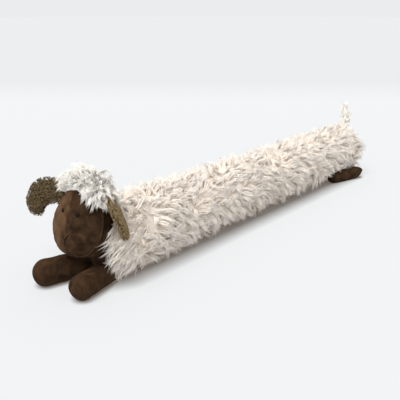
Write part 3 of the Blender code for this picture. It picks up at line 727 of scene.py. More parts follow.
def shader_of(name, values):
    material = bpy.data.materials.new(name)
    material.use_nodes = True
    shader = material.node_tree.nodes["Principled BSDF"]
    for label, value in values.items():
        shader.inputs[label].default_value = value
    return material, material.node_tree, shader.inputs


def place_group(tree, group, inputs):
    return add_node(tree, "ShaderNodeGroup", inputs, node_tree=bpy.data.node_groups[group]).outputs


def shade_colour(tree):
    """The shade attribute that the meshes carry."""
    return add_node(tree, "ShaderNodeAttribute", attribute_name="shade").outputs["Color"]


def mottled_material(name, dark, light, patch, grain, share, bump, values, edge=None, brushed=None):
    """A napped cloth. Where edge and brushed are given, the shade attribute's red marks a seam's ridge, lighter as
    worn suede with a painted highlight, its green painted shade in a seam's groove, and its blue brushed nap with
    painted light on the face's far side."""
    material, tree, shader = shader_of(name, values)
    place = add_node(tree, "ShaderNodeTexCoord").outputs["Object"]
    out = place_group(tree, "mottled_nap", {
        "Coordinates": place, "Dark": rgba(dark), "Light": rgba(light), "Patch Scale": patch, "Grain Scale": grain,
        "Grain Share": share})
    colour = out["Color"]
    if edge is not None:
        parts = add_node(tree, "ShaderNodeSeparateColor", {"Color": shade_colour(tree)}).outputs
        # Painted light, painted highlight and painted shade, from the shade attribute's blue, red and green.
        colour = mix_colours(tree, parts["Blue"], colour, rgba(brushed))
        colour = mix_colours(tree, parts["Red"], colour, rgba(edge))
        colour = mix_colours(tree, parts["Green"], colour, rgba(dark, 0.35))
    feed(tree, shader["Base Color"], colour)
    raised = add_node(tree, "ShaderNodeBump", {"Height": out["Height"], "Strength": 0.5, "Distance": bump})
    feed(tree, shader["Normal"], raised.outputs["Normal"])
    return material


def fibre_material(name, root, tip, variation, values):
    material, tree, shader = shader_of(name, values)
    out = place_group(tree, "fibre_tone", {
        "Shade": shade_colour(tree), "Root": rgba(root), "Tip": rgba(tip), "Variation": variation})
    feed(tree, shader["Base Color"], out["Color"])
    return material


def material_named(name):
    """One of the toy's materials, made when it is first asked for."""
    if name in bpy.data.materials:
        return bpy.data.materials[name]
    if "mottled_nap" not in bpy.data.node_groups:
        make_mottle_group()
        make_fibre_group()
    scene = bpy.context.scene
    suede, ears = scene.excluder_suede, scene.excluder_ears
    cream, white = ((pile.root_colour, pile.tip_colour) for pile in (scene.excluder_fleece, scene.excluder_topknot))
    # The ears' near-black gap colour is painted shade between the curls, on the yarn's roots and on the backing.
    curls = ears.dark_colour, ears.light_colour
    soft = {"Roughness": 0.9, "Sheen Weight": 0.25, "Sheen Roughness": 0.4}
    fibres = {
        # colours at the root and the tip, how far the fibres' tones differ, values of the shader
        "cream_pile": (*cream, 0.07, soft),
        "white_pile": (*white, 0.08, soft | {"Sheen Weight": 0.5}),
        "curly_yarn": (*curls, 0.7, {"Roughness": 0.9, "Specular IOR Level": 0.1}),
    }
    if name in fibres:
        return fibre_material(name, *fibres[name])
    cloths = {
        # dark and light colour, scales of patches and grain, the grain's share, its height, values of the shader
        "cream_backing": (*cream, 60.0, 700.0, 0.5, 0.002, soft),
        "white_backing": (*white, 90.0, 700.0, 0.5, 0.002, soft),
        "curl_backing": (*curls, 300.0, 900.0, 0.4, 0.001, {"Roughness": 0.95}),
        "napped_suede": (
            suede.dark_colour, suede.light_colour, 75.0, 1500.0, 0.22, 0.0004,
            {"Roughness": 0.9, "Specular IOR Level": 0.02, "Sheen Weight": 0.07, "Sheen Roughness": 0.3,
             "Sheen Tint": (0.42, 0.27, 0.14, 1.0)},
            # Colours of the painted highlight beside the seams, and of brushed nap with the painted light on the
            # face's far side.
            [value * 1.7 for value in suede.light_colour],
            [value * suede.brushed_and_lit_share for value in suede.light_colour]),
        "dark_thread": (
            suede.thread_colour, [value * 2 for value in suede.thread_colour], 900.0, 2500.0, 0.5, 0.0002,
            {"Roughness": 0.8, "Specular IOR Level": 0.04}),
        "bead": (
            (0.005, 0.003, 0.002), (0.014, 0.008, 0.005), 200.0, 900.0, 0.3, 0.00002,
            {"Roughness": 0.4, "Specular IOR Level": 0.1}),
    }
    return mottled_material(name, *cloths[name])


def laid_out(share):
    """How many times further out a point goes to lie on a form. Share is how far out it is, against the form's
    own reach."""
    return np.where(share < LAID_ON, LAID_ON / np.maximum(share, DEEPEST_LAID), 1.0)


def push_out_of_head(centres):
    """Fibres that touch the head lie on it. Returns them and whether each is clear of its inside."""
    local = to_head(centres)
    share = inside_head(local)
    push = laid_out(share)
    local[..., :2] *= push[..., None]
    laid = np.where((push > 1.0)[..., None], to_world(local), centres)
    return laid, ~np.any(share < DEEP_IN_HEAD, axis=-1)


def push_out_of_legs(centres):
    """Fibres that touch a leg lie on it. Returns them and whether each is clear of the legs' insides."""
    clear = np.ones(len(centres), dtype=bool)
    for _, x, y, heading, length, root_radius, tip_radius, height_share in LEGS:
        turn = math.radians(heading)
        forward = np.array((math.cos(turn), math.sin(turn), 0.0))
        sideways = np.array((-math.sin(turn), math.cos(turn), 0.0))
        offset = centres - TOY_AT - np.array((x, y, 0.0))
        run = offset @ forward
        radius = root_radius + (tip_radius - root_radius) * np.clip(run / length, 0, 1)
        flank = offset @ sideways
        height = offset[..., 2] - (tip_radius * height_share - LEG_PRESS)
        share = np.hypot(flank / radius, height / (radius * height_share))
        share = np.where((run < 0) | (run > length), 9.0, share)
        clear &= ~np.any(share < DEEP_IN_LEG, axis=-1)
        push = laid_out(share) - 1.0
        centres = centres + sideways * (flank * push)[..., None]
        centres[..., 2] += height * push
    return centres, clear


def push_off_chest(centres):
    """Fibres that lean over the chest panel lie on it. Returns them and whether each stays near its rim."""
    across, height, _ = tube_section(np.array(TUBE_FRONT))
    middle = TOY_AT + np.array((CHEST_BACK, across, height))
    offset = centres - middle
    share = np.clip(np.hypot(offset[..., 1], offset[..., 2]) / CHEST_RADIUS, 0, 1) ** (1 / 0.6)
    surface = -CHEST_BULGE * np.sqrt(1 - share**2) - 0.0012
    inside = (share < 1) & (offset[..., 0] > surface) & (offset[..., 0] < 0.002)
    centres[..., 0] = np.where(inside, middle[0] + surface, centres[..., 0])
    astray = (share < 0.25) & (offset[..., 0] < 0.002)
    return centres, ~np.any(astray, axis=1)


def push_under_ears(centres):
    """Fibres that an ear lies on go under it. Returns them and whether each may stay."""
    keep = np.ones(len(centres), dtype=bool)
    for _, _, _, strip in EARS:
        middle, across, over, half_width, half_thickness = strip_frames(*strip, np.linspace(0.02, 0.99, 25))
        away = centres[:, :, None, :] - (middle + TOY_AT)
        nearest = np.argmin(np.sum(away**2, axis=-1), axis=-1)
        offset = np.take_along_axis(away, nearest[..., None, None], axis=2)[:, :, 0, :]
        beside = np.abs(np.sum(offset * across[nearest], axis=-1)) < half_width[nearest] + 0.001
        height = np.sum(offset * over[nearest], axis=-1)
        under = -half_thickness[nearest] - 0.001
        beside &= (height > under) & (np.linalg.norm(offset, axis=-1) < 0.03)
        inside = beside & (height < ABOVE_EAR)
        centres = centres - over[nearest] * (np.where(inside, height - under, 0.0))[..., None]
        keep &= ~np.any(beside & (height >= ABOVE_EAR), axis=1)
    return centres, keep


def make_backing(settings):
    """The stuffed tube under the pile."""
    stations = np.concatenate([
        np.linspace(0.004, 0.07, 14), np.linspace(0.075, 0.925, 110), np.linspace(0.93, 0.996, 14)])
    sides = 72
    travel, turn = np.meshgrid(stations, turns_round(sides, 0.5), indexing="ij")
    points, outward = tube_surface(travel.ravel(), turn.ravel(), settings.backing_depth)
    soft = wander(points, BODY_LUMP_SIZE, 1.3)[:, 0] * BODY_LUMP_DEPTH
    points = points + outward * soft[:, None]
    points[:, 2] = np.maximum(points[:, 2], FLOOR_GAP)
    rings = points.reshape(len(stations), sides, 3) + TOY_AT
    ends = [rings[row].mean(axis=0) for row in (0, -1)]
    return loft("fleece_body", rings, ends[0], ends[1])


def body_locks(settings, rng):
    """Roots, outward directions and lays of the locks on the body, and how near each is to the chest panel."""
    radius = TUBE_HEIGHT / 2 - settings.backing_depth
    whole = TUBE_LENGTH + TUBE_HEIGHT - TUBE_END_ROUND * (4 - math.pi)
    rows = int(whole / (settings.lock_spacing * 0.92))
    columns = int(2 * math.pi * radius / settings.lock_spacing)
    travel, column = np.meshgrid((np.arange(rows) + 0.5) / rows, np.arange(columns), indexing="ij")
    travel = travel + rng.uniform(-0.48, 0.48, travel.shape) / rows
    stagger = 0.5 * (np.arange(rows) % 2)[:, None]
    turn = 2 * np.pi * (column + rng.uniform(-0.5, 0.5, column.shape) + stagger) / columns
    travel, turn = travel.ravel(), turn.ravel()
    run = np.minimum(travel, 1 - travel) * whole
    front = travel < 0.5
    share = np.where(front, 1.0, np.minimum(1.0, run / (TUBE_HEIGHT / 2)))
    keep = (rng.uniform(0, 1, len(run)) < share) & ~(front & (run < CHEST_RADIUS * 0.8))
    travel, turn = travel[keep], turn[keep]
    edge = (travel < 0.5) & (np.minimum(travel, 1 - travel) * whole < TUBE_HEIGHT / 2 + 0.012)
    travel = np.concatenate([travel, travel[edge] + rng.uniform(-0.6, 0.6, edge.sum()) / rows])
    turn = np.concatenate([turn, turn[edge] + rng.uniform(0.02, 0.08, edge.sum())])
    roots, outward = tube_surface(travel, turn, settings.backing_depth)
    flow = np.tile(PILE_FLOW, (len(roots), 1))
    for size, seed, strength in PILE_SWIRLS:
        flow = flow + wander(roots, size, seed) * strength
    rim = 1 - smooth_step(TUBE_FRONT + 0.010, TUBE_FRONT + 0.050, roots[:, 0])
    across, height, _ = tube_section(roots[:, 0])
    inward = unit(np.stack([np.zeros(len(roots)), across - roots[:, 1], height - roots[:, 2]], axis=-1))
    over_rim = np.array((-2.2, 0.0, -0.4)) + inward * 1.2
    flow = flow * (1 - 0.6 * rim[:, None]) + rim[:, None] * over_rim
    around = 2 * np.pi * (np.arange(settings.fringe) + rng.uniform(0, 1, settings.fringe)) / settings.fringe
    radial = np.stack([np.zeros(settings.fringe), np.cos(around), np.sin(around)], axis=-1)
    across, height, _ = tube_section(np.array(TUBE_FRONT))
    middle = np.array((TUBE_FRONT + 0.003, across, height))
    edge = middle + radial * (CHEST_RADIUS + rng.uniform(0.001, 0.006, (settings.fringe, 1)))
    roots, rim = np.concatenate([roots, edge]), np.concatenate([rim, np.ones(settings.fringe)])
    outward = np.concatenate([outward, unit(radial * 0.6 - np.array((0.8, 0.0, 0.0)))])
    hang = np.array((-0.4, 0.0, -1.0)) - radial * 0.55 + wander(edge, 0.012, 3.3) * 0.9
    flow = np.concatenate([flow, hang])
    lay = unit(flow - outward * np.sum(flow * outward, axis=1, keepdims=True))
    return roots, outward, lay, rim


def make_pile(settings):
    """The body's pile, in four pieces from the chest to the tail end."""
    rng = np.random.default_rng(PILE_SEED)
    roots, outward, lay, rim = body_locks(settings, rng)
    count = len(roots)
    low = np.clip(-outward[:, 2], 0, 1)
    tail_end = smooth_step(TUBE_BACK - 0.040, TUBE_BACK - 0.008, roots[:, 0])
    length = settings.lock_length * rng.uniform(0.75, 1.2, count) \
        * (1 - 0.25 * low * (1 - tail_end)) * (1 + 0.3 * rim + 0.15 * tail_end)
    steep = 0.08 * outward[:, 2] - 0.10 * low + (0.14 + 0.3 * low) * tail_end
    lift = np.clip(rng.normal(0.52, 0.13, count) + steep, 0.2, 0.85)
    curl = rng.normal(0.0, 0.16, count)
    paths = lock_paths(roots + TOY_AT - outward * 0.001, outward, lay, length, lift, curl, 0.05)
    width = settings.lock_width * rng.uniform(0.7, 1.25, count)
    parts = fill_locks(paths, outward, unit(np.cross(lay, outward)), width, settings.fibres, settings.fibre_width,
                       rng, close=0.15, fuzz=0.0026, wave=0.6)
    parts[0], keep = push_under_ears(parts[0])
    for push in (push_out_of_head, push_out_of_legs, push_off_chest):
        parts[0], clear = push(parts[0])
        keep &= clear
    steps = np.linalg.norm(np.diff(parts[0], axis=1), axis=-1)
    keep &= steps.max(axis=1) < settings.lock_length * LONGEST_STEP
    parts = [part[keep] for part in parts]
    place = parts[0][:, 0, 0]
    cuts = np.quantile(place, (0, 0.25, 0.5, 0.75, 1))
    cuts[-1] += 1.0
    pieces = []
    for k, name in enumerate(("pile_chest", "pile_shoulder", "pile_flank", "pile_rump")):
        here = (place >= cuts[k]) & (place < cuts[k + 1])
        pieces.append(fibre_mesh(name, *(part[here] for part in parts)))
    return pieces


def seam_distances(local):
    """How far each point of the head lies behind the seam round the face, and from the seam down its middle."""
    lean = math.radians(FACE_SEAM_LEAN)
    across = np.array((math.cos(lean), 0.0, -math.sin(lean)))
    return (local - np.array((FACE_SEAM_X, 0.0, 0.0))) @ across, np.abs(local[..., 1])


def seam_shade(edge, groove, brushed=0.0):
    """The shade attribute of a suede piece, with two plain rows for its end points: the painted highlight and wear
    beside a seam, the painted shade in its groove, and brushed nap with painted light.
    """
    shade = np.zeros((*edge.shape, 4))
    shade[..., 0], shade[..., 1], shade[..., 2] = edge, groove, brushed
    return np.concatenate([shade.reshape(-1, 4), np.zeros((2, 4))])


def head_surface(angle, height, settings):
    """The sewn and stuffed skin of the head: its points, and how near they are to the seams' edges and grooves, as
    masks for a painted highlight with wear on the edges and painted shade in the grooves.
    """
    local = head_points(angle, height)
    outward = head_outward(angle, height)
    panel, middle = seam_distances(local)
    width = settings.seam_width
    panel_dip = np.exp(-(panel / width) ** 2)
    middle_dip = np.exp(-(middle / width * 1.3) ** 2) * smooth_step(0.004, 0.012, height)
    panel_puff = np.exp(-((np.abs(panel) - 0.0055) / PUFF_WIDTH) ** 2)
    middle_puff = np.exp(-((middle - 0.005) / PUFF_WIDTH) ** 2)
    flat = local.reshape(-1, 3)
    pucker = wander(flat, 0.0045, 9.0)[:, 0].reshape(height.shape)
    lumps = wander(flat, 0.018, 4.0)[:, 1].reshape(height.shape)
    near_seam = np.exp(-(np.minimum(np.abs(panel), middle + 0.001) / 0.006) ** 2)
    moved = (
        -settings.seam_depth * panel_dip - 0.55 * settings.seam_depth * middle_dip
        + PANEL_PUFF * panel_puff + MIDDLE_PUFF * middle_puff
        + PUCKER_DEPTH * pucker * near_seam + HEAD_LUMP_DEPTH * lumps
    )
    for side in (1, -1):
        eye, _ = eye_place(side)
        away = np.linalg.norm(local - eye, axis=-1)
        moved = moved + SOCKET_RISE * np.exp(-((away - SOCKET_RADIUS) / SOCKET_WIDTH) ** 2)
    # Painted highlight on the ridge beside each seam, standing also for worn suede, and painted shade in the seams'
    # grooves.
    edge = 0.55 * np.exp(-((np.abs(panel) - width * 1.1) / (0.5 * width)) ** 2)
    edge = edge + 0.28 * np.exp(-((middle - width) / (0.6 * width)) ** 2) * (local[..., 0] < 0)
    groove = 0.8 * panel_dip**2 + 0.32 * middle_dip**2
    return local + outward * moved[..., None], edge, groove


def make_head(settings):
    """The stuffed suede head: one egg of two halves, drawn in where they are sewn together."""
    steps, sides = 110, 200
    angles = 360.0 * np.arange(sides) / sides
    height, angle = np.meshgrid(HEAD_TALL * eased_shares(steps), angles, indexing="ij")
    local, edge, groove = head_surface(angle, height, settings)
    patches = wander(local.reshape(-1, 3), 0.011, 12.0)[:, 2].reshape(height.shape)
    # Painted light: the face's far half is made lighter, as if lit from the left, with random brushed nap patches
    # mixed in.
    lit_far_side = smooth_step(-0.004, 0.018, local[..., 1] + 0.006 * patches)
    brushed = lit_far_side * (1 - smooth_step(-0.004, 0.004, seam_distances(local)[0])) * (0.75 + 0.5 * patches)
    brushed = np.clip(brushed + 0.28 * smooth_step(0.25, 0.6, patches), 0, 1)
    shade = seam_shade(np.clip(edge, 0, 1) * 0.5, np.clip(groove, 0, 1), brushed)
    ends = to_world(np.array(((0, 0, -HEAD_MIDDLE), (0, 0, HEAD_TALL - HEAD_MIDDLE))))
    return loft("suede_head", to_world(local), ends[0], ends[1], shade)


def face_route(points, steps, settings):
    """A route over the face through pairs of angle and height, on the suede, with the way out there."""
    table = [(k, *point) for k, point in enumerate(points)]
    places = read_table(table, np.linspace(0, len(points) - 1, steps))
    angle, height = places[:, 0], places[:, 1]
    return head_surface(angle, height, settings)[0], head_outward(angle, height)


def eye_place(side):
    """Where an eye's middle lies on the smooth egg, and the way out there. Side is 1 for the near eye."""
    half_width = float(read_table(HEAD_SECTIONS, np.array([EYE_HEIGHT]))[0, 0])
    angle = np.array([side * math.degrees(math.asin(EYE_SPREAD / half_width))])
    height = np.array([EYE_HEIGHT])
    return head_points(angle, height)[0], head_outward(angle, height)[0]


def make_thread(name, points, radius, settings, steps=20, sides=8, rise=0.0001):
    """A thread laid on the face."""
    route, outward = face_route(points, steps, settings)
    route = route + outward * rise
    tangent = unit(np.gradient(route, axis=0))
    across = unit(np.cross(tangent, outward))
    over = np.cross(across, tangent)
    share = np.linspace(0, 1, steps)
    girth = radius * np.sqrt(np.clip(1 - (2 * share - 1) ** 8, 0.02, 1))
    girth = girth * (1 + 0.18 * np.sin(share * 34))
    turns = turns_round(sides)
    rings = route[:, None, :] + girth[:, None, None] * (
        across[:, None, :] * np.cos(turns)[:, None] + over[:, None, :] * np.sin(turns)[:, None])
    return loft(name, to_world(rings), to_world(route[0]), to_world(route[-1]))


def make_eye(side):
    """A domed bead with a rounded rim, sunk in the face."""
    at, out = eye_place(side)
    rows, columns = 22, 40
    polar = np.pi * np.arange(1, rows) / rows
    turns = turns_round(columns)
    turn = np.array(Vector(out).to_track_quat("Z", "Y").to_matrix())
    rim = 1 + 0.10 * np.exp(-((polar - 1.75) / 0.16) ** 2)
    girth = (EYE_RADIUS * np.sin(polar) * rim)[:, None]
    height = np.broadcast_to(-EYE_DEPTH * np.cos(polar)[:, None], (rows - 1, columns))
    rings = np.stack([girth * np.cos(turns), girth * np.sin(turns), height], axis=-1)
    middle = at + out * EYE_DEPTH * 0.25
    local = rings @ turn.T + middle
    ends = [to_world(middle + out * EYE_DEPTH * way) for way in (-1, 1)]
    return loft("bead_near" if side > 0 else "bead_far", to_world(local), ends[0], ends[1])


def turn_from_face(turn):
    """A direction round the crown as its turn from the face, on whichever side it is."""
    return np.where(turn <= 180.0, turn, 360.0 - turn)


def topknot_sides(turn):
    """How far each direction round the crown is to the back and to the far side, from 0 to 1."""
    return smooth_step(68.0, 118.0, turn_from_face(turn)), np.exp(-((turn - 270.0) / 50.0) ** 2)


def topknot_reach(turn):
    """How far down the topknot comes in each direction round the crown."""
    back, far = topknot_sides(turn)
    return read_table(TOPKNOT_REACHES, turn_from_face(turn))[..., 0] * (1 - 0.30 * back) * (1 - 0.18 * far)


def make_cap():
    """The topknot's padded backing, hollow where it sits on the head."""
    steps, sides = 24, 72
    turns = 360.0 * np.arange(sides) / sides
    share, turn = np.meshgrid(np.arange(1, steps + 1) / steps, turns, indexing="ij")
    directions = topknot_directions(turn, topknot_reach(turn) * share)
    skin = directions * (head_reach(directions) + CAP_GAP)[..., None]
    swell = np.sqrt(1 - share**4) * CAP_SWELL + CAP_EDGE
    soft = wander(skin.reshape(-1, 3), 0.012, 7.0)[:, 0].reshape(share.shape) * 0.0016
    outer = skin + directions * (swell + soft * (1 - share**4))[..., None]
    rings = np.concatenate([outer, skin[::-1]])
    axis = topknot_directions(np.array(0.0), np.array(0.0))
    pole = axis * (head_reach(axis[None])[0] + CAP_GAP)
    top = pole + axis * (CAP_SWELL + CAP_EDGE)
    return loft("topknot_cap", to_world(rings), to_world(top), to_world(pole))


def make_topknot_locks(settings):
    """The mop of longer, whiter locks on the crown."""
    rng = np.random.default_rng(TOPKNOT_SEED)
    tries = settings.locks * 4
    turn = rng.uniform(0, 360, tries)
    share = np.sqrt(rng.uniform(0, 1, tries))
    down = topknot_reach(turn) * share * 0.98
    keep = rng.uniform(0, 1, tries) < np.sin(np.radians(down)) / np.maximum(share, 0.05) * 1.1
    turn, down, share = (part[keep][:settings.locks] for part in (turn, down, share))
    count = len(turn)
    first = topknot_directions(turn, down)
    downhill = topknot_directions(turn, down + 90.0)
    aside = np.cross(first, downhill)
    back, far = topknot_sides(turn)
    hanging = np.exp(-((turn - 50.0) / 36.0) ** 2) * share
    sway = np.radians(rng.normal(0, 50, count) * (1 - 0.55 * share**2) * (1 - 0.5 * hanging))[:, None]
    toward = downhill * np.cos(sway) + aside * np.sin(sway)
    bend = np.radians(rng.uniform(7, 22, count) * (1 - 0.35 * share**3) * (1 + 0.45 * hanging))
    depth = settings.rim_depth + (settings.depth - settings.rim_depth) * np.sqrt(1 - share**3)
    depth = depth * rng.uniform(0.62, 1.14, count) * (1 - 0.48 * back) * (1 - 0.28 * far)
    along = np.linspace(0, 1, 8)[None, :]
    swing = (bend[:, None] * along**1.4)[..., None]
    directions = first[:, None, :] * np.cos(swing) + toward[:, None, :] * np.sin(swing)
    stand = depth[:, None] * (1.06 * np.sin(np.pi / 2 * np.minimum(1, along * 1.08)) - 0.06 * along**2.5)
    paths = to_world(directions * (head_reach(directions) + 0.002 + stand)[..., None])
    paths[..., 2] -= (0.002 + 0.003 * hanging[:, None]) * along**2
    outward = unit(turn_to_world(first))
    across = unit(np.cross(turn_to_world(toward), outward))
    width = TOPKNOT_LOCK_WIDTH * rng.uniform(0.6, 1.3, count)
    parts = fill_locks(paths, outward, across, width, settings.fibres, TOPKNOT_FIBRE_WIDTH, rng,
                       rows=5, thin=0.8, close=0.14, fuzz=0.0014)
    parts[0], _ = push_out_of_head(parts[0])
    return fibre_mesh("topknot_locks", *parts)


def make_ear(name, hidden, painted_light_level, strip, settings, seed):
    """The padded strip of an ear, and the curls that cover it."""
    route, facings, widths, thickness = strip
    steps, sides = 56, 36
    start = 0.9 * hidden  # the padding starts a little under the topknot
    share = start + (1 - start) * eased_shares(steps)
    middle, across, over, half_width, half_thickness = strip_frames(*strip, share)
    rings = strip_rings(middle, across, over, np.maximum(half_width - CURL_SINK, THINNEST_CORE),
                        np.maximum(half_thickness - CURL_SINK, THINNEST_CORE), sides)
    soft = wander(rings.reshape(-1, 3), 0.004, seed) * 0.0006
    rings = rings + soft.reshape(rings.shape) + TOY_AT
    core = loft(name + "_core", rings, middle[0] + TOY_AT, np.array(route[-1]) + TOY_AT)

    rng = np.random.default_rng(seed)
    tries = settings.curls * 4
    place = rng.uniform(hidden, 0.995, tries)
    turn = rng.uniform(0, 2 * np.pi, tries)
    _, _, _, wide, thick = strip_frames(*strip, place)
    weight = np.hypot(wide * np.sin(turn), thick * np.cos(turn)) + 0.0015
    tip = (1 - smooth_step(0.0, 0.004, (1 - place) * route_length(route))) * 0.5
    keep = rng.uniform(0, 1, tries) < weight / 0.019 + tip
    place, turn = place[keep][:settings.curls], turn[keep][:settings.curls]
    roots, outward = strip_surface((route, facings, widths, thickness - 2 * CURL_SINK), place, turn)
    roots = roots + TOY_AT
    count = len(roots)
    loose = rng.normal(0, 1, (count, 3))
    first = unit(loose - outward * np.sum(loose * outward, axis=1, keepdims=True))
    second = np.cross(outward, first)
    rows = 5
    along = np.linspace(0, 1, rows)[None, :]
    height = settings.curl_height * rng.uniform(0.7, 1.3, (count, 1))
    girth = CURL_GIRTH * rng.uniform(0.7, 1.4, (count, 1))
    sweep = 2 * np.pi * rng.uniform(0.55, 0.95, (count, 1)) * along
    centres = (
        roots[:, None, :]
        + outward[:, None, :] * (height * np.sin(np.pi * (0.08 + 0.78 * along)) - 0.0004)[..., None]
        + first[:, None, :] * (girth * np.sin(sweep))[..., None]
        + second[:, None, :] * (girth * (1 - np.cos(sweep)))[..., None])
    taper = settings.curl_width * np.array((0.9, 1.0, 1.0, 0.85, 0.0))
    radii = np.broadcast_to(taper, (count, rows)) * rng.uniform(0.8, 1.3, (count, 1))
    tones = rng.uniform(0, 1, (count, 2))
    # Painted light and shade: the near ear's curls are made lighter and the far ear's darker, with random patches.
    patch = wander(roots, 0.0027, seed + 2.0)[:, 0] * 1.3
    tones[:, 0] = np.clip(painted_light_level + patch, 0, 1)
    curls = fibre_mesh(name + "_curls", centres, radii, outward, tones, outward, flatness=1.0)
    return core, curls


def make_leg(sizes, seed):
    """A stuffed suede stub with a sewn ridge along its top and creases where it meets the body."""
    name, x, y, heading, length, root_radius, tip_radius, height_share = sizes
    steps, sides = 84, 72
    middle = tip_radius * height_share - LEG_PRESS
    share = eased_shares(steps)
    radius = root_radius + (tip_radius - root_radius) * share
    slim = 1.0 if "front" in name else HIND_TOE
    cap = np.minimum(1.0, np.minimum(share, (1 - share) / slim) * length / radius)
    round_end = np.sqrt(1 - (1 - cap) ** 2)
    pointed = (slim - 1) * 0.6 * smooth_step(0.5, 0.8, share)
    girth = radius * (round_end * (1 - pointed) + (1 - (1 - cap) ** 1.5) * pointed)
    along, around = np.meshgrid(share, turns_round(sides), indexing="ij")
    raised = middle + (slim - 1) * HIND_TOE_RISE * smooth_step(0.7, 1.0, along)
    local = np.stack([
        along * length, girth[:, None] * np.cos(around),
        raised + girth[:, None] * height_share * np.sin(around),
    ], axis=-1)
    outward = unit(np.stack([np.zeros_like(along), np.cos(around), np.sin(around)], axis=-1))
    flat = local.reshape(-1, 3)
    lumps = wander(flat, 0.014, seed)[:, 0].reshape(along.shape)
    creases = wander(flat * np.array((1.0, 0.35, 0.35)), 0.0048, seed + 3)[:, 1].reshape(along.shape)
    side_way = np.abs(((around - np.pi / 2 + np.pi) % (2 * np.pi)) - np.pi) * girth[:, None]
    seam = np.exp(-(side_way / 0.0011) ** 2) * smooth_step(0.02, 0.12, along)
    puff = np.exp(-((side_way - 0.0042) / 0.003) ** 2)
    at_root = 1 - smooth_step(0.25, 0.62, along)
    moved = LEG_LUMP_DEPTH * lumps + LEG_CREASE_DEPTH * creases * (0.25 + at_root)
    moved = moved - LEG_SEAM_DEPTH * seam + LEG_PUFF * puff
    local = local + outward * moved[..., None]
    local[..., 2] = np.maximum(local[..., 2], 0.0)
    # Painted highlight on the ridge beside the top seam, standing also for worn suede, and painted shade in its
    # groove.
    edge = np.exp(-((side_way - 0.0014) / 0.0008) ** 2) * smooth_step(0.05, 0.2, along)
    shade = seam_shade(0.6 * np.clip(edge, 0, 1), 0.7 * seam**2)
    place = Matrix.Translation(TOY + Vector((x, y, 0))) @ Matrix.Rotation(math.radians(heading), 4, "Z")
    turn_by, move_by = np.array(place.to_3x3()), np.array(place.translation)
    ends = np.array(((0, 0, middle), (length, 0, middle))) @ turn_by.T + move_by
    return loft("suede_" + name, local @ turn_by.T + move_by, ends[0], ends[1], shade)


def make_chest():
    """The suede panel that closes the chest, gathered a little under the chin."""
    sides, steps = 96, 30
    polar = np.pi / 2 * np.arange(steps) / steps
    bow, around = np.meshgrid(polar, turns_round(sides), indexing="ij")
    girth = CHEST_RADIUS * np.cos(bow) ** 0.6
    local = np.stack([-CHEST_BULGE * np.sin(bow), girth * np.cos(around), girth * np.sin(around)], axis=-1)
    folds = wander(np.stack([np.cos(around), np.sin(around), bow * 0.3], axis=-1).reshape(-1, 3), 0.22, 6.0)[:, 0]
    local[..., 0] -= folds.reshape(bow.shape) * 0.0013 * np.sin(2 * bow)
    local[..., 0] = np.minimum(local[..., 0], 0.0)
    across, height, _ = tube_section(np.array(TUBE_FRONT))
    move = TOY_AT + np.array((CHEST_BACK, across, height))
    plain = np.zeros((steps * sides + 2, 4))
    return loft("suede_chest", local + move, move, move + np.array((-CHEST_BULGE, 0, 0)), plain)


def make_tail():
    """The tail's backing strip and the fleece on it."""
    route = TAIL_STRIP[0]
    steps, sides = 40, 28
    middle, across, over, half_width, half_thickness = strip_frames(*TAIL_STRIP, eased_shares(steps))
    rings = strip_rings(middle, across, over, half_width * TAIL_CORE_SHARE, half_thickness * TAIL_CORE_SHARE,
                        sides) + TOY_AT
    ends = read_route(route, np.array((0.004, 0.985))) + TOY_AT
    core = loft("tail_core", rings, ends[0], ends[1])

    rng = np.random.default_rng(TAIL_SEED)
    place = rng.uniform(0.05, 0.97, TAIL_LOCKS)
    turn = rng.uniform(0, 2 * np.pi, TAIL_LOCKS)
    roots, outward = strip_surface(TAIL_STRIP, place, turn)
    centre_line = read_route(route, place)
    roots = centre_line + (roots - centre_line) * TAIL_CORE_SHARE
    lay = unit(route_heading(route, place, 0.02) + wander(roots, 0.01, 8.0) * 0.6)
    length = TAIL_LOCK_LENGTH * rng.uniform(0.7, 1.2, TAIL_LOCKS)
    lift = np.clip(rng.normal(0.36, 0.1, TAIL_LOCKS), 0.1, 0.7)
    lift = lift * (1 - 0.75 * smooth_step(0.55, 0.9, place))
    paths = lock_paths(roots + TOY_AT, outward, lay, length, lift, np.zeros(TAIL_LOCKS), 0.02)
    width = TAIL_LOCK_WIDTH * rng.uniform(0.7, 1.2, TAIL_LOCKS)
    parts = fill_locks(paths, outward, unit(np.cross(lay, outward)), width, TAIL_FIBRES, TAIL_FIBRE_WIDTH, rng)
    return core, fibre_mesh("tail_locks", *parts)


class EXCLUDER_OT_body(Operator):
    """Make the stuffed tube that carries the pile"""
    bl_idname = "excluder.body"
    bl_label = "Fleece body"

    def execute(self, context):
        data = make_backing(context.scene.excluder_fleece)
        finish_piece(data, "cream_backing", ("fleece_tube",))
        return {"FINISHED"}


class EXCLUDER_OT_pile(Operator):
    """Grow the shaggy pile on the body"""
    bl_idname = "excluder.pile"
    bl_label = "Pile"

    def execute(self, context):
        for data in make_pile(context.scene.excluder_fleece):
            finish_piece(data, "cream_pile")
        return {"FINISHED"}


class EXCLUDER_OT_head(Operator):
    """Make the stuffed suede head"""
    bl_idname = "excluder.head"
    bl_label = "Head"

    def execute(self, context):
        data = make_head(context.scene.excluder_suede)
        finish_piece(data, "napped_suede", ("face", "head_back"))
        return {"FINISHED"}


class EXCLUDER_OT_eyes(Operator):
    """Set the two bead eyes in the face"""
    bl_idname = "excluder.eyes"
    bl_label = "Eyes"

    def execute(self, context):
        for side, node in ((1, "eye_near"), (-1, "eye_far")):
            finish_piece(make_eye(side), "bead", (node,))
        return {"FINISHED"}


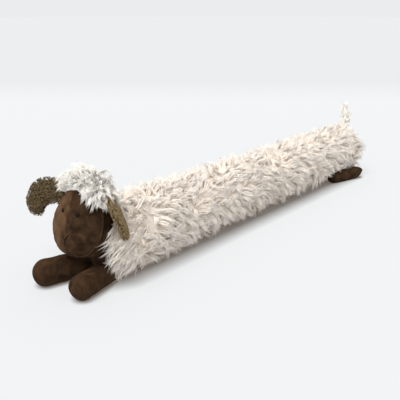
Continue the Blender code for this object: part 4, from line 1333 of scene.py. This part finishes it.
class EXCLUDER_OT_stitches(Operator):
    """Stitch the nose and the mouth on the face"""
    bl_idname = "excluder.stitches"
    bl_label = "Nose and mouth"

    def execute(self, context):
        for name, radius, points in MOUTH_THREADS:
            data = make_thread(name, points, radius, context.scene.excluder_suede)
            finish_piece(data, "dark_thread")
        return {"FINISHED"}


class EXCLUDER_OT_topknot(Operator):
    """Make the topknot's cap and its locks"""
    bl_idname = "excluder.topknot"
    bl_label = "Topknot"

    def execute(self, context):
        finish_piece(make_cap(), "white_backing", ("topknot",))
        finish_piece(make_topknot_locks(context.scene.excluder_topknot), "white_pile")
        return {"FINISHED"}


class EXCLUDER_OT_ears(Operator):
    """Make the two padded ears and their curls"""
    bl_idname = "excluder.ears"
    bl_label = "Ears"

    def execute(self, context):
        for k, sizes in enumerate(EARS):
            core, curls = make_ear(*sizes, context.scene.excluder_ears, EAR_SEED + k)
            finish_piece(core, "curl_backing", (sizes[0],))
            finish_piece(curls, "curly_yarn")
        return {"FINISHED"}


class EXCLUDER_OT_legs(Operator):
    """Make the four stuffed legs"""
    bl_idname = "excluder.legs"
    bl_label = "Legs"

    def execute(self, context):
        for k, sizes in enumerate(LEGS):
            data = make_leg(sizes, 2.0 + 5.0 * k)
            finish_piece(data, "napped_suede", (sizes[0],))
        return {"FINISHED"}


class EXCLUDER_OT_chest(Operator):
    """Make the suede chest panel"""
    bl_idname = "excluder.chest"
    bl_label = "Chest panel"

    def execute(self, context):
        finish_piece(make_chest(), "napped_suede", ("chest_panel",))
        return {"FINISHED"}


class EXCLUDER_OT_tail(Operator):
    """Make the upright tail"""
    bl_idname = "excluder.tail"
    bl_label = "Tail"

    def execute(self, context):
        core, locks = make_tail()
        finish_piece(core, "cream_backing", ("tail",))
        finish_piece(locks, "white_pile")
        return {"FINISHED"}


class EXCLUDER_OT_stage(Operator):
    """Lay the floor, hang the lamp and set the camera"""
    bl_idname = "excluder.stage"
    bl_label = "Stage"

    def execute(self, context):
        make_stage(context.scene, context.scene.excluder_stage)
        return {"FINISHED"}

CAMERA_AT = Vector((-0.7760, -0.6102, 0.4111))
CAMERA_AIM = Vector((-0.1545, 0.0, 0.05883))
LAMP_TOWARD = Vector((-0.42, 0.04, 1.0))
LAMP_SPREAD = 30.0
FLOOR_RINGS = (0.4, 0.8, 1.3, 2.0, 3.5, 6.0, 12.0)
# Painted shade: the floor's colour darkens far off along the camera's view.
FLOOR_FADE = (1.2, 1.75)  # how far behind the toy the floor starts to darken, and where it is darkest
# Painted contact shadow: the floor's glow where the toy stands on it.
SHADOW_GLOW_UNDER_TOY = (0.20, 0.165, 0.135, 1.0)
GLOW_IN_OPEN = (0.985, 1.0, 1.0, 1.0)


def floor_clear_of_painted_shadow(tree, place):
    """A mask on the floor for its painted contact shadow: 0 where the body or a leg lies on it, and 1 clear of
    them.
    """
    # Each span is a line on the floor under a form: its start, heading and length, how far from it the form
    # touches the floor and where its painted shadow ends.
    spans = [(TUBE_FRONT + 0.03, 0.0, 0.0, TUBE_LENGTH - 0.08, 0.045, 0.085)]
    for _, x, y, heading, length, _, tip_radius, _ in LEGS:
        spans.append((x, y, heading, length - tip_radius, tip_radius * 0.5, tip_radius * 1.05))
    clear = None
    for x, y, heading, length, touching, away in spans:
        forward = Vector((math.cos(math.radians(heading)), math.sin(math.radians(heading)), 0.0))
        start = TOY + Vector((x, y, 0.0))
        offset = calculate_vectors(tree, "SUBTRACT", place, start)
        run = calculate_vectors(tree, "DOT_PRODUCT", offset, forward, "Value")
        within = place_between(tree, run, 0.0, length, length)
        along = add_node(tree, "ShaderNodeVectorMath", {0: forward, "Scale": within}, operation="SCALE").outputs[0]
        reach = calculate_vectors(tree, "DISTANCE", offset, along, "Value")
        free = place_between(tree, reach, touching, away)
        clear = free if clear is None else calculate(tree, "MINIMUM", clear, free)
    return clear


def make_stage(scene, settings):
    """A wide pale glowing floor with a painted contact shadow under the toy and painted shade far off, an even
    light, one large soft lamp high on the left and the camera.
    """
    sides = 96
    turns = turns_round(sides)
    points = np.concatenate([
        np.stack([radius * np.cos(turns), radius * np.sin(turns), np.zeros(sides)], axis=-1)
        for radius in FLOOR_RINGS
    ] + [np.zeros((1, 3))])
    k = np.arange(sides)
    following = (k + 1) % sides
    faces = [np.stack([np.full(sides, len(points) - 1), k, following], axis=-1)]
    for row in range(len(FLOOR_RINGS) - 1):
        a, b = row * sides + k, row * sides + following
        faces += [np.stack([a, a + sides, b], axis=-1), np.stack([b, a + sides, b + sides], axis=-1)]
    data = mesh_from_arrays("floor", points, np.concatenate(faces))
    material, tree, shader = shader_of("pale_floor", {
        "Roughness": 0.9, "Specular IOR Level": 0.1, "Emission Strength": settings.floor_glow})
    place = add_node(tree, "ShaderNodeTexCoord").outputs["Object"]
    clear = floor_clear_of_painted_shadow(tree, place)
    # Painted contact shadow: the floor's glow dims to a warm dark colour under the body and the legs.
    feed(tree, shader["Emission Color"], mix_colours(tree, clear, SHADOW_GLOW_UNDER_TOY, GLOW_IN_OPEN))
    # Painted shade far off along the camera's view.
    away = (CAMERA_AIM - CAMERA_AT).xy.normalized()
    depth = calculate_vectors(tree, "DOT_PRODUCT", place, (away.x, away.y, 0.0), "Value")
    fall = place_between(tree, calculate(tree, "ABSOLUTE", depth), *FLOOR_FADE)
    feed(tree, shader["Base Color"],
         mix_colours(tree, fall, rgba(settings.floor_colour), rgba(settings.floor_colour, 0.75)))
    data.materials.append(material)
    data.shade_smooth()
    floor = bpy.data.objects.new("floor", data)
    scene.collection.objects.link(floor)

    world = bpy.data.worlds.new("room")
    scene.world = world
    world.use_nodes = True
    room = world.node_tree.nodes["Background"].inputs
    room["Color"].default_value = (0.98, 0.985, 1.0, 1.0)
    room["Strength"].default_value = settings.sky

    lamp = bpy.data.lights.new("lamp_left", "SUN")
    lamp.angle = math.radians(LAMP_SPREAD)
    lamp.energy = settings.lamp_power
    lamp.color = (1.0, 0.985, 0.965)
    holder = bpy.data.objects.new("lamp_left", lamp)
    holder.location = LAMP_TOWARD
    holder.rotation_euler = LAMP_TOWARD.to_track_quat("Z", "Y").to_euler()
    scene.collection.objects.link(holder)

    camera = bpy.data.cameras.new("camera")
    camera.lens = settings.lens
    camera.sensor_width = 36.0
    camera.clip_start = 0.02
    camera.clip_end = 30.0
    holder = bpy.data.objects.new("camera", camera)
    holder.location = CAMERA_AT + TOY
    holder.rotation_euler = (CAMERA_AIM - CAMERA_AT).to_track_quat("-Z", "Y").to_euler()
    scene.collection.objects.link(holder)
    scene.camera = holder
    scene.view_settings.view_transform = "Standard"


OPERATORS = (
    EXCLUDER_OT_stage, EXCLUDER_OT_body, EXCLUDER_OT_pile, EXCLUDER_OT_chest, EXCLUDER_OT_head, EXCLUDER_OT_eyes,
    EXCLUDER_OT_stitches, EXCLUDER_OT_topknot, EXCLUDER_OT_ears, EXCLUDER_OT_legs, EXCLUDER_OT_tail,
)


class EXCLUDER_PT_pieces(Panel):
    """The draught excluder's pieces and their settings"""
    bl_idname = "EXCLUDER_PT_pieces"
    bl_label = "Draught excluder"
    bl_space_type = "VIEW_3D"
    bl_region_type = "UI"
    bl_category = "Draught excluder"

    def draw(self, context):
        layout = self.layout
        for operator in OPERATORS:
            layout.operator(operator.bl_idname)
        for key, group in SETTINGS.items():
            box = layout.box()
            for name in group.__annotations__:
                box.prop(getattr(context.scene, key), name)


CLASSES = (*SETTINGS.values(), *OPERATORS, EXCLUDER_PT_pieces)


def register():
    for each in CLASSES:
        bpy.utils.register_class(each)
    for key, group in SETTINGS.items():
        setattr(bpy.types.Scene, key, PointerProperty(type=group))


def unregister():
    for key in SETTINGS:
        delattr(bpy.types.Scene, key)
    for each in reversed(CLASSES):
        bpy.utils.unregister_class(each)


def main():
    for thing in list(bpy.data.objects):
        if thing.type in {"CAMERA", "LIGHT"}:
            bpy.data.objects.remove(thing)
    register()
    for operator in OPERATORS:
        module, name = operator.bl_idname.split(".")
        getattr(getattr(bpy.ops, module), name)()


if __name__ == "__main__":
    main()
